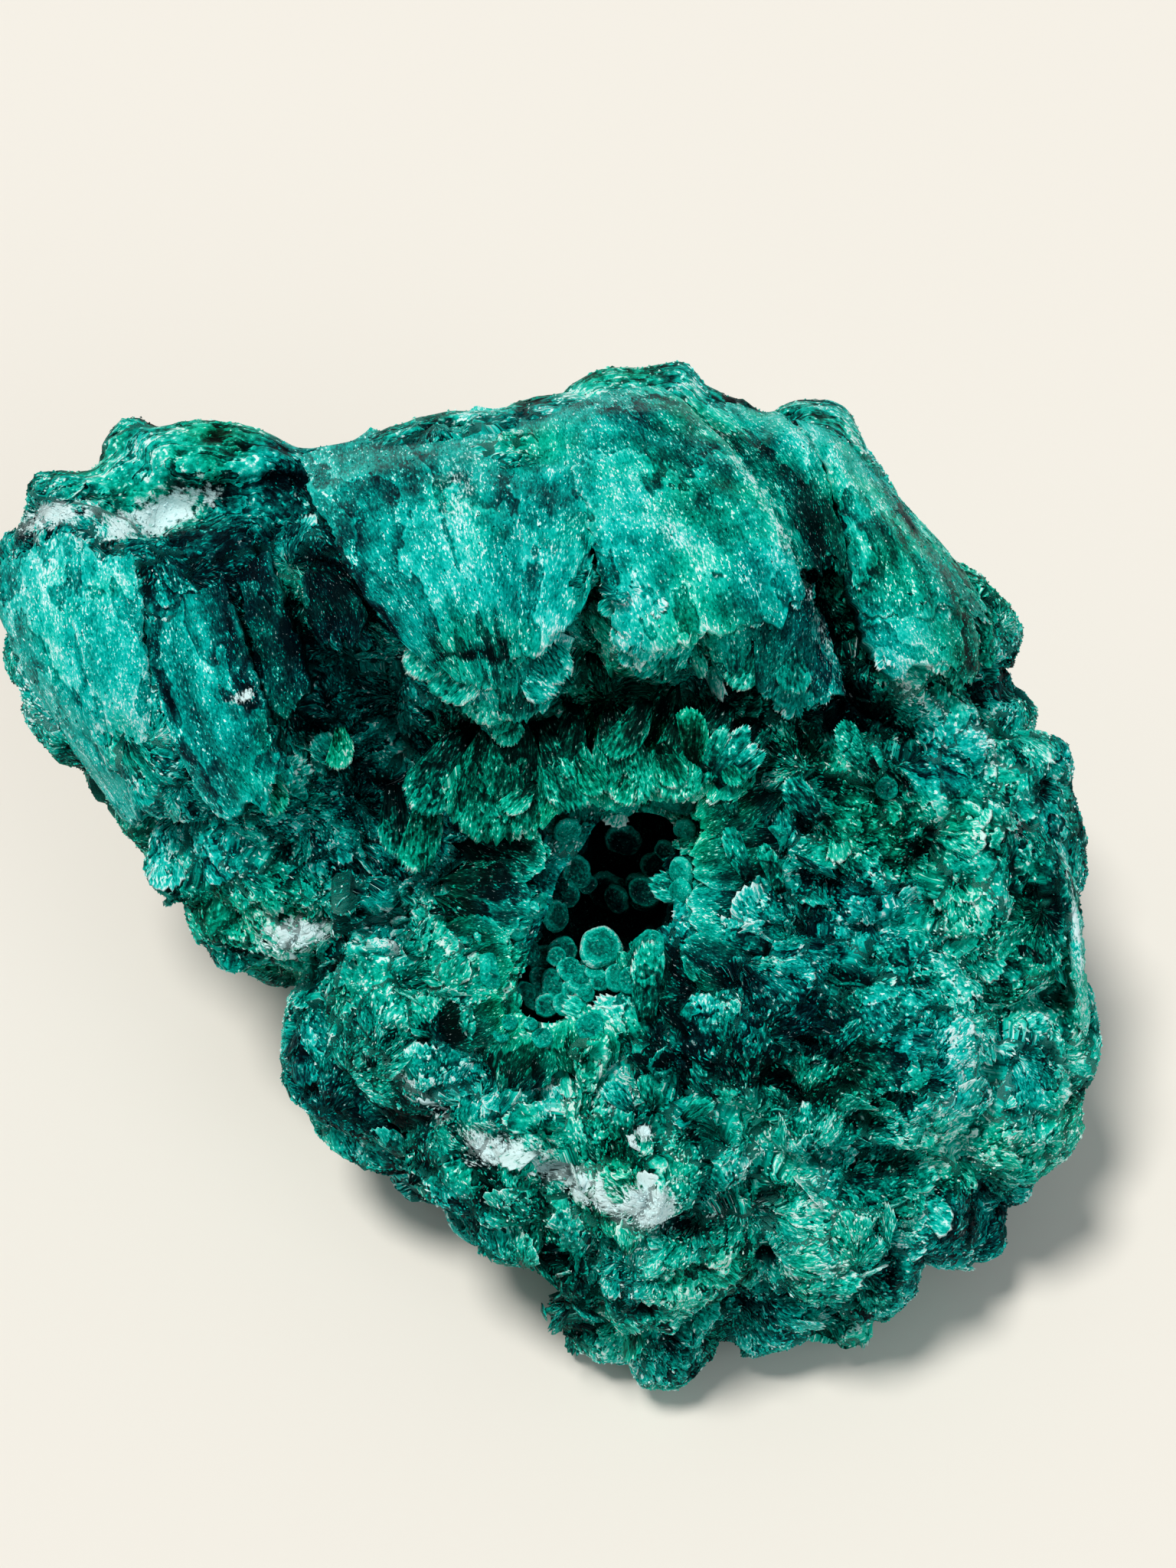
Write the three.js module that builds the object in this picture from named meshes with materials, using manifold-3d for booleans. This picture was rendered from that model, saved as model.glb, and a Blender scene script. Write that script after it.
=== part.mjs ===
// A fist-sized specimen of velvet malachite: one mass of fibrous, silky fans and low domes
// of needle sprays round an open vug, and the crust of rounded plates that grew in the vug.
//
// The shape is worked out in a face frame: x to the right, y up and z towards the viewer,
// as the crystal face is seen, with zero in the mouth of the vug. The whole face frame then
// leans back, and the mass is cut off flat where it rests. Millimetres and degrees.
import * as THREE from 'three';
import { mergeVertices } from 'three/addons/utils/BufferGeometryUtils.js';
import Module from 'manifold-3d';

const wasm = await Module();
wasm.setup();

// Driving dimensions
const faceElevation = 55; // how steeply the face is looked down on when it stands
const mouthAboveBase = 37; // height of the face frame's zero over the flat it rests on
const baseFromMouth = [3, 4]; // the middle of that flat, right of and behind the zero
const baseReach = 27; // the flat's typical radius
const baseHub = [-9, -6]; // where the flat's facets meet, clear of its middle
const domeHeight = 12; // how far the middle of the face stands forward of its rim
const lipHeight = -2; // the face's height at the mouth, before the dome is added
const fadeFrom = 0.84; // share of the way to the rim where swells and hollows begin to fade
const flankDepth = 22; // how far the side runs straight back from the rim
const flankTaper = 0.98; // and how much it draws in over that depth
const rimReachTypical = 48; // a rim point this far out stands over a flat of typical reach
const vugDepth = 24;
const vugFlare = 132; // the vug's wall starts this far round, so it widens below its mouth
const crustGap = 0.4; // between the vug's wall and the crust
const clearance = 0.3; // the least gap between the crust and any petal that leans over it
const crustThickness = 1.6;
const stalkReach = 7; // how far back and down the stalk of a plate starts
const fanThickness = { root: 6, tip: 2 };
const lowestSwell = 0.4; // the sprays near the resting flat stay this far over it
const sameSpot = 1e-4; // points closer than this are one point
const coarsestEdge = 0.09; // facet edges under this are closed up after a join,
const finestEdge = 0.005; // or under as little as this where more would pinch the surface

// How finely the mass is faceted
const around = 70;
const vugRings = 4;
const faceRings = 11;
const flankRings = 6;

// The rim of the face, anticlockwise from the right: x, y, z
const rim = [
  [47.5, 1.5, -5], [45.6, 6.7, -5], [44, 11.6, -4], [44.2, 15.5, -4], [41.4, 19.2, -4],
  [38.3, 21.8, -4], [37.4, 24.2, -5], [38.4, 26, -5], [37.6, 30, -5], [34.2, 34, -5],
  [30.2, 38.5, -6], [27.6, 41.4, -6], [25.2, 45, -7], [23.8, 49, -8], [21.4, 50.4, -8],
  [17.4, 50.5, -8], [15.2, 49.2, -8], [12.4, 50.2, -8], [9.2, 51, -8], [7, 53, -8],
  [3.2, 52.9, -8], [-1.5, 53.2, -8], [-5.4, 51.8, -8], [-9.2, 50, -7], [-11.4, 48.6, -6],
  [-16.4, 48.3, -5], [-21.4, 47.3, -5], [-26, 46.3, -5], [-30.4, 45.1, -5], [-34.4, 46.5, -5],
  [-39.6, 47.1, -5], [-44.4, 47.2, -5], [-47.8, 47.8, -6], [-50.4, 45.6, -7], [-52, 43.4, -7],
  [-55.6, 43.4, -7], [-58, 42, -7], [-58.4, 38.6, -6], [-61, 35.6, -6], [-62.4, 31, -6],
  [-61, 25.6, -6], [-58, 21.2, -6], [-54.6, 16.8, -6], [-51, 12.3, -6], [-48.4, 8.2, -6],
  [-46.8, 3.8, -7], [-44.8, 1.8, -7], [-41.8, 1.6, -7], [-40.4, -2.2, -8], [-38.2, -5.4, -8],
  [-34.8, -5.6, -8], [-32.5, -7.6, -8], [-31.8, -12, -8], [-31, -17, -8], [-28.6, -21, -8],
  [-25.4, -25.6, -8], [-21.6, -29.5, -8], [-16.6, -32.5, -8], [-11.8, -34.4, -8],
  [-7.6, -36, -8], [-4.2, -38.6, -8], [-4.5, -42.4, -8], [-1.6, -45, -8], [2.4, -47, -8],
  [6.4, -46.5, -8], [9, -43.9, -8], [14, -43.3, -8], [19, -43.8, -8], [24, -44.4, -8],
  [28, -42, -8], [29.8, -38, -7], [30.7, -34.3, -7], [34.2, -35, -8], [37.6, -33.6, -8],
  [39.6, -30, -8], [42, -26.2, -7], [44.6, -22.4, -6], [45.8, -17.6, -6], [47.4, -12.6, -6],
  [48.2, -7.6, -6], [48, -3, -5],
];
const mouth = [
  [5.4, -0.6], [5.6, 3], [6.2, 6], [5.2, 8.7], [2.2, 9.4], [-1.2, 8.6], [-3, 6], [-5, 3.6],
  [-6, 0.6], [-7.4, -2.6], [-8.8, -6.2], [-8.4, -8.9], [-5.6, -9.8], [-2, -8.4], [1.6, -6.4],
  [4.2, -3.8],
];
const mouthMiddle = [-1.2, 0];

// Broad swells of the face: where, how wide each way, turned by, and lift
const swells = [
  { at: [4, 31], size: [27, 11], turn: 0, lift: 9 }, // the brow of fans over the vug
  { at: [-17, 30], size: [10, 11], turn: 15, lift: 4 },
  { at: [4, -24], size: [25, 11], turn: 10, lift: 6 }, // the mound of sprays below it
  { at: [34, 4], size: [10, 15], turn: 10, lift: 3 },
  { at: [-50, 22], size: [9, 14], turn: 20, lift: 2 }, // the silky wing
  { at: [-2, 48], size: [9, 2.4], turn: 0, lift: 3 },
];

// Hollows of the face, under which the fans don't sink: the same four values
const hollows = [
  { at: [-2, 13], size: [17, 6], turn: 0, lift: -8 }, // the shade under the brow
  { at: [-23, 18], size: [6, 12], turn: 15, lift: -11 }, // the dark recess left of it
  { at: [-41, 5], size: [7, 2.4], turn: -35, lift: -3 },
  { at: [18.6, 31], size: [2.6, 10], turn: 14, lift: -11 }, // the deep valley at the right
  { at: [24, 18.6], size: [5, 2], turn: -32, lift: -7 },
  { at: [-38, 38.5], size: [8, 2], turn: 12, lift: -5 }, // the cleft over the wing
  { at: [7.5, -20], size: [2, 1.6], turn: 0, lift: -4 },
  { at: [24.5, -24], size: [2.6, 1.8], turn: 0, lift: -4 },
  { at: [22.6, -18.5], size: [2, 1.6], turn: 0, lift: -4 },
  { at: [39, 1], size: [1.6, 3.2], turn: 0, lift: -5 },
  { at: [37.5, -30], size: [3.4, 3], turn: 0, lift: -4 },
];

// The silky fans, each between a left and a right edge that run from its root through a
// pull point to its tip. round is how far the tip bows out, rise is the height over the
// face at root, middle and tip, and crown is how much the fan swells between its edges.
const fans = {
  wingOuter: {
    left: [[-47.2, 7.6], [-54.6, 17], [-61, 32]], right: [[-46.2, 9], [-50.4, 22], [-51.8, 36.4]],
    round: 2, rise: [-1, 0.8, 0.6], crown: 1,
  },
  wingInner: {
    left: [[-46.4, 9], [-50.6, 22], [-51.8, 36.4]], right: [[-42.6, 11], [-42.6, 23], [-44.2, 33.6]],
    round: 0.6, rise: [-1, 1.4, 1], crown: 0.9,
  },
  wingShoulder: {
    left: [[-44.4, 32.6], [-43.6, 18], [-37, 8.6]], right: [[-37, 33.3], [-32.4, 21], [-29.4, 13]],
    round: 2.4, rise: [-1, 0.6, 2], crown: 1.2,
  },
  shadowRib: {
    left: [[-36, 33.3], [-33.6, 25.4], [-32.4, 18]], right: [[-32, 33.7], [-28.6, 26.6], [-27.6, 19.4]],
    round: 1, rise: [-1.4, -1, -2.4], crown: 1.2,
  },
  oval: {
    left: [[-28.4, 32.4], [-29.6, 27], [-26.6, 24.4]], right: [[-27.4, 32], [-19.6, 29.4], [-23.6, 24.6]],
    round: 1, rise: [-2, -1.5, -3], crown: 1.2,
  },
  leftBrow: {
    left: [[-30, 44.6], [-30.4, 33], [-18.6, 23.8]], right: [[-11.4, 48], [-7.6, 37], [-8.4, 23.4]],
    round: 3.6, rise: [-1, 2, 3.4], crown: 2.6,
  },
  leftStrip: {
    left: [[-10.8, 47.8], [-8.4, 38], [-9.6, 23.4]], right: [[-5.6, 47.6], [-1.2, 40], [-2.2, 28]],
    round: 3.6, rise: [-1, 2.8, 3.2], crown: 1.6,
  },
  middleBrow: {
    left: [[-5, 47.4], [-2.4, 37.7], [0.4, 23]], right: [[4, 51.6], [15.6, 44], [17.9, 26.9]],
    round: 1.2, rise: [-1, 4.6, 3.6], crown: 2.8,
  },
  valleyFan: {
    left: [[7, 50.6], [12.6, 43], [15.6, 36]], right: [[16.4, 48.6], [20, 42.6], [21.6, 33]],
    round: 1, rise: [-1, 1, -4], crown: 1.6,
  },
  rightBrow: {
    left: [[17.4, 48.4], [21.4, 37.5], [22, 26.2]], right: [[24.6, 47], [28, 38], [33.6, 28.6]],
    round: 1, rise: [-1, 3, 2.6], crown: 2,
  },
  rightSlope: {
    left: [[23.4, 44.6], [27.8, 37.6], [31.6, 28.2]], right: [[26.2, 41.6], [33, 35.6], [36.8, 26.8]],
    round: 1, rise: [-1, 1.4, 1.4], crown: 1.2,
  },
  rightLap: {
    left: [[21.2, 33], [21.2, 26], [25, 20.8]], right: [[31, 33], [36, 28], [36.4, 22.4]],
    round: -1, rise: [-1, 2.4, 1.6], crown: 1.4,
  },
  cone: {
    left: [[17.4, 27], [15.6, 23], [13.8, 20.4]], right: [[18.8, 27], [20, 23], [21.6, 19]],
    round: 1, rise: [-3, -2.4, -2.6], crown: 1.4,
  },
  rightSheet: {
    left: [[29, 17], [27.6, 9], [32, 1.6]], right: [[41.8, 16], [43, 9], [41.6, 1]],
    round: 1.6, rise: [-1, 1, 0], crown: 1.2,
  },
  rightRib: {
    left: [[41.4, 10.6], [43, -1], [44.8, -12]], right: [[43, 10.8], [45.6, -1], [46.6, -12]],
    round: 0.6, rise: [-1, 1, 0], crown: 0.7,
  },
};

// Petals round the mouth of the vug: root, tip, half-width and the tip's rise
const petals = [
  [[-10.5, 20], [-9, 6.8], 5.4, 0.6], [[-1.2, 19.5], [-0.4, 9.2], 3.4, 0.4],
  [[6.6, 21.5], [5, 9.6], 3.8, 0.8], [[13, 19], [8.6, 10.2], 2.6, 0.6],
  [[15.5, 12.4], [7.4, 8], 2.7, 1], [[16.4, 6.6], [6.6, 4.6], 2.8, 1.4],
  [[16.4, 0.4], [6.4, 0.8], 2.8, 1.2], [[14.4, -6.4], [6, -2.6], 2.6, 1.2],
  [[4, -13.4], [2.7, -1.6], 2.3, 1.2], [[-2.4, -16], [-3, -8.6], 3, 0.8],
  [[-10, -17], [-7.4, -10.2], 3, 0.8], [[-17, -11], [-9.8, -7.8], 3, 1.2],
  [[-18, -4.4], [-8.8, -3.6], 3.4, 1.4], [[-16.6, 2.4], [-7.2, 0.4], 3.2, 1.4],
  [[-15, 8], [-5.8, 4.4], 2.6, 0.6],
];

// A petal's edge as shares of its length and half-width, then how it bows, rises and swells
const petalEdge = [[0, 0.4], [0.6, 1.3], [0.86, 0.62]];
const petalBow = 0.14;
const petalRise = [-1.5, 0.2];
const petalCrown = 1.4;

// Low domes of needle sprays, with a crease between each and the next
const sprays = { count: 96, dome: 1.6, reach: 8, crease: 1.5, creaseWidth: 2 };

// Rounded plates of the crust: x, y and z of the crown, and radius
const plates = [
  [-1.2, -2.8, 7.6, 2.2], [-3, -5.8, 7, 1.7], [-5.3, -6.6, 6.2, 1.6], [-7, -7.8, 6, 1.4],
  [-4.6, -3.6, 5.2, 1.5], [-6.4, -4.6, 4, 1.5], [-5, -0.4, 4.6, 1.5], [-3.4, 3.6, 3.6, 1.5],
  [2.6, 1.4, -2, 1.9], [-0.6, 1.2, -5, 2.1], [4.2, 4, -1, 1.6], [1, 6.2, -2, 1.8],
  [-1.8, -6, 1, 1.8],
];

const degree = Math.PI / 180;
const sinE = Math.sin(faceElevation * degree);
const cosE = Math.cos(faceElevation * degree);
const mix = (a, b, t) => a + (b - a) * t;
const mixPoint = (p, q, t) => p.map((v, k) => mix(v, q[k], t));
const clamp = (x, low, high) => Math.min(high, Math.max(low, x));
const share = (x) => x - Math.floor(x);
const smooth = (t) => {
  const s = clamp(t, 0, 1);
  return s * s * (3 - 2 * s);
};

// A curve that leaves the first value, pulls towards the second and ends on the third
const pulled = ([a, b, c], t) => a * (1 - t) ** 2 + 2 * b * t * (1 - t) + c * t * t;
const pulledPoint = (line, t) => line[0].map((_, k) => pulled(line.map((p) => p[k]), t));

// Height over the resting flat of a point of the face frame
const heightOver = (p) => p.y * cosE + p.z * sinE + mouthAboveBase;

// The point of the face frame that stands at (x, y) on the resting flat
function onFlat(x, y) {
  const back = y + baseFromMouth[1];
  const up = -mouthAboveBase;
  return new THREE.Vector3(x + baseFromMouth[0], back * sinE + up * cosE, up * sinE - back * cosE);
}

// A point at share t of the way round a closed line of points, on Catmull-Rom spans
function roundLine(points, t) {
  const n = points.length;
  const at = share(t) * n;
  const i = Math.floor(at);
  const f = at - i;
  const [a, b, c, d] = [-1, 0, 1, 2].map((k) => points[(i + k + n) % n]);
  return b.map((_, k) => {
    const rise = c[k] - a[k];
    const fall = 2 * a[k] - 5 * b[k] + 4 * c[k] - d[k];
    const turn = 3 * b[k] - a[k] - 3 * c[k] + d[k];
    return b[k] + 0.5 * f * (rise + f * (fall + f * turn));
  });
}

// A closed line's reach from the middle of the mouth, by direction, from a walk round it
function reachTable(points) {
  const steps = 720;
  const walk = [];
  for (let k = 0; k < steps; k++) {
    const [x, y, z = 0] = roundLine(points, k / steps);
    const [dx, dy] = [x - mouthMiddle[0], y - mouthMiddle[1]];
    walk.push({ angle: Math.atan2(dy, dx), reach: Math.hypot(dx, dy), z });
  }
  return walk.sort((a, b) => a.angle - b.angle);
}

function reachAt(table, angle) {
  let [low, high] = [0, table.length - 1];
  while (high - low > 1) {
    const middle = (low + high) >> 1;
    if (table[middle].angle <= angle) low = middle;
    else high = middle;
  }
  return table[low];
}

const rimReach = reachTable(rim);
const mouthReach = reachTable(mouth);

// Share of the way from the mouth to the rim at (x, y), and the rim's height that way
function acrossFace(x, y) {
  const [dx, dy] = [x - mouthMiddle[0], y - mouthMiddle[1]];
  const angle = Math.atan2(dy, dx);
  const edge = reachAt(rimReach, angle);
  const lip = reachAt(mouthReach, angle).reach;
  return [clamp((Math.hypot(dx, dy) - lip) / (edge.reach - lip), 0, 1), edge.z];
}

// Height that a list of round swells adds at (x, y)
function lifted(list, x, y) {
  return list.reduce((sum, { at, size, turn, lift }) => {
    const [c, s] = [Math.cos(turn * degree), Math.sin(turn * degree)];
    const [dx, dy] = [x - at[0], y - at[1]];
    const along = (dx * c + dy * s) / size[0];
    const across = (dy * c - dx * s) / size[1];
    return sum + lift * Math.exp(-(along * along + across * across) / 2);
  }, 0);
}

// How much of a swell or hollow is left at share t of the way to the rim
const rimFade = (t) => 1 - smooth((t - fadeFrom) / (1 - fadeFrom));

// Height of the face with its swells: a dome that rolls over at the rim
function browHeight(x, y) {
  const [t, edgeZ] = acrossFace(x, y);
  const dome = domeHeight * (1 - t ** 3.4) ** 0.6;
  return mix(lipHeight, edgeZ, smooth(t)) + dome + lifted(swells, x, y) * rimFade(t);
}

// The same with its hollows, as the needle sprays cover it
function faceHeight(x, y) {
  const [t] = acrossFace(x, y);
  return browHeight(x, y) + lifted(hollows, x, y) * rimFade(t);
}

// The rim and the lip of the mouth in one direction, so that no facet between them twists
function spoke(turn, inset = 0) {
  const [x, y, z] = roundLine(rim, turn);
  const angle = Math.atan2(y - mouthMiddle[1], x - mouthMiddle[0]);
  const reach = reachAt(mouthReach, angle).reach - inset;
  const lip = [mouthMiddle[0] + Math.cos(angle) * reach, mouthMiddle[1] + Math.sin(angle) * reach];
  return { edge: new THREE.Vector3(x, y, z), lip };
}

// The outside of the mass: s from 0 at the lip to 1 at the rim, and on to 2 at the flat
function outside({ edge, lip }, s) {
  if (s < 1) {
    const t = 1 - (1 - s) ** 1.35;
    const [x, y] = [mix(lip[0], edge.x, t), mix(lip[1], edge.y, t)];
    return new THREE.Vector3(x, y, faceHeight(x, y));
  }
  const depth = Math.min(flankDepth, Math.max(0, heightOver(edge) - 2) / sinE);
  const pull = new THREE.Vector3(edge.x * flankTaper, edge.y * flankTaper, edge.z - depth);
  const standX = edge.x - baseFromMouth[0];
  const standY = edge.y * sinE - edge.z * cosE - baseFromMouth[1];
  const reach = baseReach * (Math.hypot(standX, standY) / rimReachTypical) ** 0.6;
  const angle = Math.atan2(standY, standX);
  const foot = onFlat(reach * Math.cos(angle), reach * Math.sin(angle));
  const g = s - 1;
  return edge.clone().multiplyScalar((1 - g) ** 2)
    .addScaledVector(pull, 2 * g * (1 - g))
    .addScaledVector(foot, g * g);
}

// The vug's wall: b from 0 at the lip to 1 at its bottom, inset from the mass by a gap
function vugWall({ lip }, b, inset) {
  const flare = vugFlare * degree;
  const turn = flare * (1 - b);
  const wide = Math.sin(turn) / Math.sin(flare);
  const deep = (Math.cos(turn) - Math.cos(flare)) / (1 - Math.cos(flare));
  const [x, y] = mixPoint(mouthMiddle, lip, wide);
  return new THREE.Vector3(x, y, faceHeight(lip[0], lip[1]) - (vugDepth - inset) * deep);
}

// Middles of the sprays, spread evenly over the outside by two steady strides
const middles = Array.from({ length: sprays.count }, (_, k) => (
  outside(spoke(share(k * 0.7548776662)), 1.92 * share(k * 0.5698402910) ** 0.62 + 0.04)
));

// How far a spray lifts the surface at a point: a low dome less the crease to the next one
function sprayLift(p) {
  let [near, next] = [Infinity, Infinity];
  for (const c of middles) {
    const d = c.distanceTo(p);
    if (d < near) [near, next] = [d, near];
    else if (d < next) next = d;
  }
  const crease = Math.exp(-(((next - near) / sprays.creaseWidth) ** 2));
  return sprays.dome * (1 - (near / sprays.reach) ** 2) - sprays.crease * crease;
}

// Closed body from rings of points, with one more point at each end
function closedRings(rings, first, last) {
  const count = rings[0].length;
  const at = (k, i) => 1 + k * count + (i % count);
  const points = [first, ...rings.flat(), last];
  const faces = [];
  for (let i = 0; i < count; i++) {
    faces.push([0, at(0, i), at(0, i + 1)]);
    for (let k = 0; k + 1 < rings.length; k++) {
      faces.push([at(k, i), at(k + 1, i), at(k + 1, i + 1)], [at(k, i), at(k + 1, i + 1), at(k, i + 1)]);
    }
    faces.push([points.length - 1, at(rings.length - 1, i + 1), at(rings.length - 1, i)]);
  }
  const geometry = new THREE.BufferGeometry().setFromPoints(points);
  geometry.setIndex(faces.flat());
  return geometry;
}

// The bottom of the vug, a little under its last ring
function vugBottom(ring) {
  const bottom = new THREE.Vector3();
  ring.forEach((p) => bottom.addScaledVector(p, 1 / ring.length));
  bottom.z -= 0.3;
  return bottom;
}

// The mass without its fans. Sprays swell the face and flank, and nothing goes under the flat.
function massGeometry() {
  const spokes = Array.from({ length: around }, (_, i) => spoke(i / around));
  const wall = (k) => spokes.map((s) => vugWall(s, 1 - k / (vugRings + 1), 0));
  const rings = Array.from({ length: vugRings }, (_, k) => wall(k + 1));
  for (let k = 0; k <= faceRings; k++) rings.push(spokes.map((s) => outside(s, k / faceRings)));
  for (let k = 1; k <= flankRings; k++) rings.push(spokes.map((s) => outside(s, 1 + k / flankRings)));
  const last = rings.length - 1;
  const swollen = rings.map((ring, k) => ring.map((p, i) => {
    if (k <= vugRings || k === last) return p;
    const [before, after] = [rings[k - 1][i], rings[k + 1][i]];
    const [left, right] = [ring[(i + around - 1) % around], ring[(i + 1) % around]];
    const normal = after.clone().sub(before).cross(right.clone().sub(left)).normalize();
    const fade = smooth((k - vugRings) / 2) * smooth((last - k) / 2);
    const q = p.clone().addScaledVector(normal, sprayLift(p) * fade);
    const under = lowestSwell - heightOver(q);
    if (under > 0) q.z += under / sinE;
    return q;
  }));
  return closedRings(swollen, vugBottom(rings[0]), onFlat(...baseHub));
}

// A thick sheet from two grids of points over the same cells, the upper one and the lower
function sheetGeometry(upper, lower, across, along) {
  const at = (i, j, under) => (i * (across + 1) + j) * 2 + under;
  const points = [];
  for (let i = 0; i <= along; i++) {
    for (let j = 0; j <= across; j++) {
      points.push(upper(j / across, i / along), lower(j / across, i / along));
    }
  }
  const faces = [];
  const quad = (a, b, c, d) => faces.push([a, b, c], [a, c, d]);
  for (let i = 0; i < along; i++) {
    for (let j = 0; j < across; j++) {
      quad(at(i, j, 0), at(i + 1, j, 0), at(i + 1, j + 1, 0), at(i, j + 1, 0));
      quad(at(i, j, 1), at(i, j + 1, 1), at(i + 1, j + 1, 1), at(i + 1, j, 1));
    }
    quad(at(i, 0, 0), at(i, 0, 1), at(i + 1, 0, 1), at(i + 1, 0, 0));
    quad(at(i, across, 0), at(i + 1, across, 0), at(i + 1, across, 1), at(i, across, 1));
  }
  for (let j = 0; j < across; j++) {
    quad(at(0, j, 0), at(0, j + 1, 0), at(0, j + 1, 1), at(0, j, 1));
    quad(at(along, j, 0), at(along, j, 1), at(along, j + 1, 1), at(along, j + 1, 0));
  }
  const geometry = new THREE.BufferGeometry().setFromPoints(points);
  geometry.setIndex(faces.flat());
  return geometry;
}

// A fan: it rides over the brow, is thick where the mass carries it and thin at its tip
function fanGeometry({ left, right, round, rise, crown }, across = 6, along = 6) {
  const way = [0, 1].map((k) => left[2][k] + right[2][k] - left[0][k] - right[0][k]);
  const length = Math.hypot(...way);
  const place = (a, b) => {
    const flat = mixPoint(pulledPoint(left, b), pulledPoint(right, b), a);
    const bow = round * (1 - (2 * a - 1) ** 2) * b ** 2;
    return flat.map((v, k) => v + (way[k] / length) * bow);
  };
  const upper = (a, b) => {
    const [x, y] = place(a, b);
    const swell = (1 - Math.abs(2 * a - 1) ** 2.4) ** 0.7 * smooth(b / 0.25) * (1 - 0.6 * b ** 4);
    return new THREE.Vector3(x, y, browHeight(x, y) + pulled(rise, b) + crown * swell);
  };
  const lower = (a, b) => {
    const [x, y] = place(a, b);
    const thick = mix(fanThickness.root + pulled(rise, b), fanThickness.tip, smooth((b - 0.55) / 0.45));
    return new THREE.Vector3(x, y, browHeight(x, y) + pulled(rise, b) - thick);
  };
  return sheetGeometry(upper, lower, across, along);
}

// A petal is a small fan that widens from its root and rounds off over the vug's mouth
function petalGeometry([root, tip, half, tipRise]) {
  const [dx, dy] = [tip[0] - root[0], tip[1] - root[1]];
  const length = Math.hypot(dx, dy);
  const edge = (side) => petalEdge.map(([b, wide]) => [
    root[0] + dx * b - (side * wide * half * dy) / length,
    root[1] + dy * b + (side * wide * half * dx) / length,
  ]);
  return fanGeometry({
    left: edge(1), right: edge(-1), round: petalBow * length,
    rise: [...petalRise, tipRise], crown: petalCrown,
  }, 4, 4);
}

// A rounded plate on its stalk: the stalk comes out of the wall and opens to a flat crown
function plateGeometry([x, y, z, radius]) {
  const top = new THREE.Vector3(x, y, z);
  const out = new THREE.Vector3(x - mouthMiddle[0], y - mouthMiddle[1], 0).setLength(1);
  const foot = top.clone().addScaledVector(out, stalkReach).setZ(z - stalkReach);
  const along = top.clone().sub(foot).normalize();
  const side = along.clone().cross(new THREE.Vector3(0, 0, 1)).normalize();
  const up = side.clone().cross(along);
  const sides = 8;
  const ring = (back, wide) => Array.from({ length: sides }, (_, k) => {
    const turn = (2 * Math.PI * k) / sides;
    return top.clone().addScaledVector(along, -back * radius)
      .addScaledVector(side, Math.cos(turn) * wide * radius)
      .addScaledVector(up, Math.sin(turn) * wide * radius);
  });
  const stalk = foot.distanceTo(top) / radius;
  return closedRings([ring(stalk, 0.5), ring(0.5, 1), ring(0.14, 0.84)], foot, top);
}

// The space in the vug, inset from its wall, up to one share of its wall and then straight
function vugSpace(inset, topShare, column) {
  const spokes = Array.from({ length: around / 2 }, (_, i) => spoke((2 * i) / around, inset));
  const rings = [];
  for (let k = 1; k <= vugRings + 1; k++) {
    const b = 1 - k / (vugRings + 1);
    if (b >= topShare) rings.push(spokes.map((s) => vugWall(s, b, inset)));
  }
  const top = rings.at(-1).map((p) => p.clone().setZ(p.z + column));
  const lid = new THREE.Vector3();
  top.forEach((p) => lid.addScaledVector(p, 1 / top.length));
  return closedRings([...rings, top], vugBottom(rings[0]), lid);
}

// Mesh data as a solid. A fan whose root is below its tip comes out inside out, and is turned.
function solidFrom(vertProperties, triVerts) {
  const made = new wasm.Manifold(new wasm.Mesh({ numProp: 3, vertProperties, triVerts }));
  if (made.volume() > 0) return made;
  return new wasm.Manifold(new wasm.Mesh({ numProp: 3, vertProperties, triVerts: triVerts.reverse() }));
}

function solid(geometry) {
  const bare = new THREE.BufferGeometry().setAttribute('position', geometry.getAttribute('position'));
  bare.setIndex(geometry.index);
  const merged = mergeVertices(bare, sameSpot);
  return solidFrom(
    new Float32Array(merged.getAttribute('position').array), new Uint32Array(merged.index.array),
  );
}

// Facets of a body once the ends of each edge shorter than shortest are one point
function closedUp({ numProp, vertProperties, triVerts }, shortest) {
  const point = (i) => new THREE.Vector3().fromArray(vertProperties, i * numProp);
  const kept = Array.from({ length: vertProperties.length / numProp }, (_, i) => i);
  const root = (i) => {
    let k = i;
    while (kept[k] !== k) k = kept[k];
    return k;
  };
  for (let i = 0; i < triVerts.length; i++) {
    const next = i % 3 === 2 ? i - 2 : i + 1;
    const [a, b] = [root(triVerts[i]), root(triVerts[next])];
    if (a !== b && point(a).distanceTo(point(b)) < shortest) kept[Math.max(a, b)] = Math.min(a, b);
  }
  const faces = [];
  for (let i = 0; i < triVerts.length; i += 3) {
    const face = [0, 1, 2].map((k) => root(triVerts[i + k]));
    if (new Set(face).size === 3) faces.push(face);
  }
  return faces;
}

// Whether each edge lies between just two facets
function everyEdgePaired(faces) {
  const uses = new Map();
  for (const face of faces) {
    face.forEach((a, k) => {
      const b = face[(k + 1) % 3];
      const edge = Math.min(a, b) + ' ' + Math.max(a, b);
      uses.set(edge, (uses.get(edge) ?? 0) + 1);
    });
  }
  return [...uses.values()].every((n) => n === 2);
}

// A solid without its slivers: the coarsest closing up that still leaves one clean surface
function withoutSlivers(body) {
  const data = body.getMesh();
  const { numProp, vertProperties, numVert } = data;
  const positions = new Float32Array(numVert * 3);
  for (let i = 0; i < numVert; i++) {
    positions.set(vertProperties.subarray(i * numProp, i * numProp + 3), i * 3);
  }
  for (let shortest = coarsestEdge; shortest > finestEdge; shortest *= 0.85) {
    const faces = closedUp(data, shortest);
    if (everyEdgePaired(faces)) return solidFrom(positions, new Uint32Array(faces.flat()));
  }
  return body;
}

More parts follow.
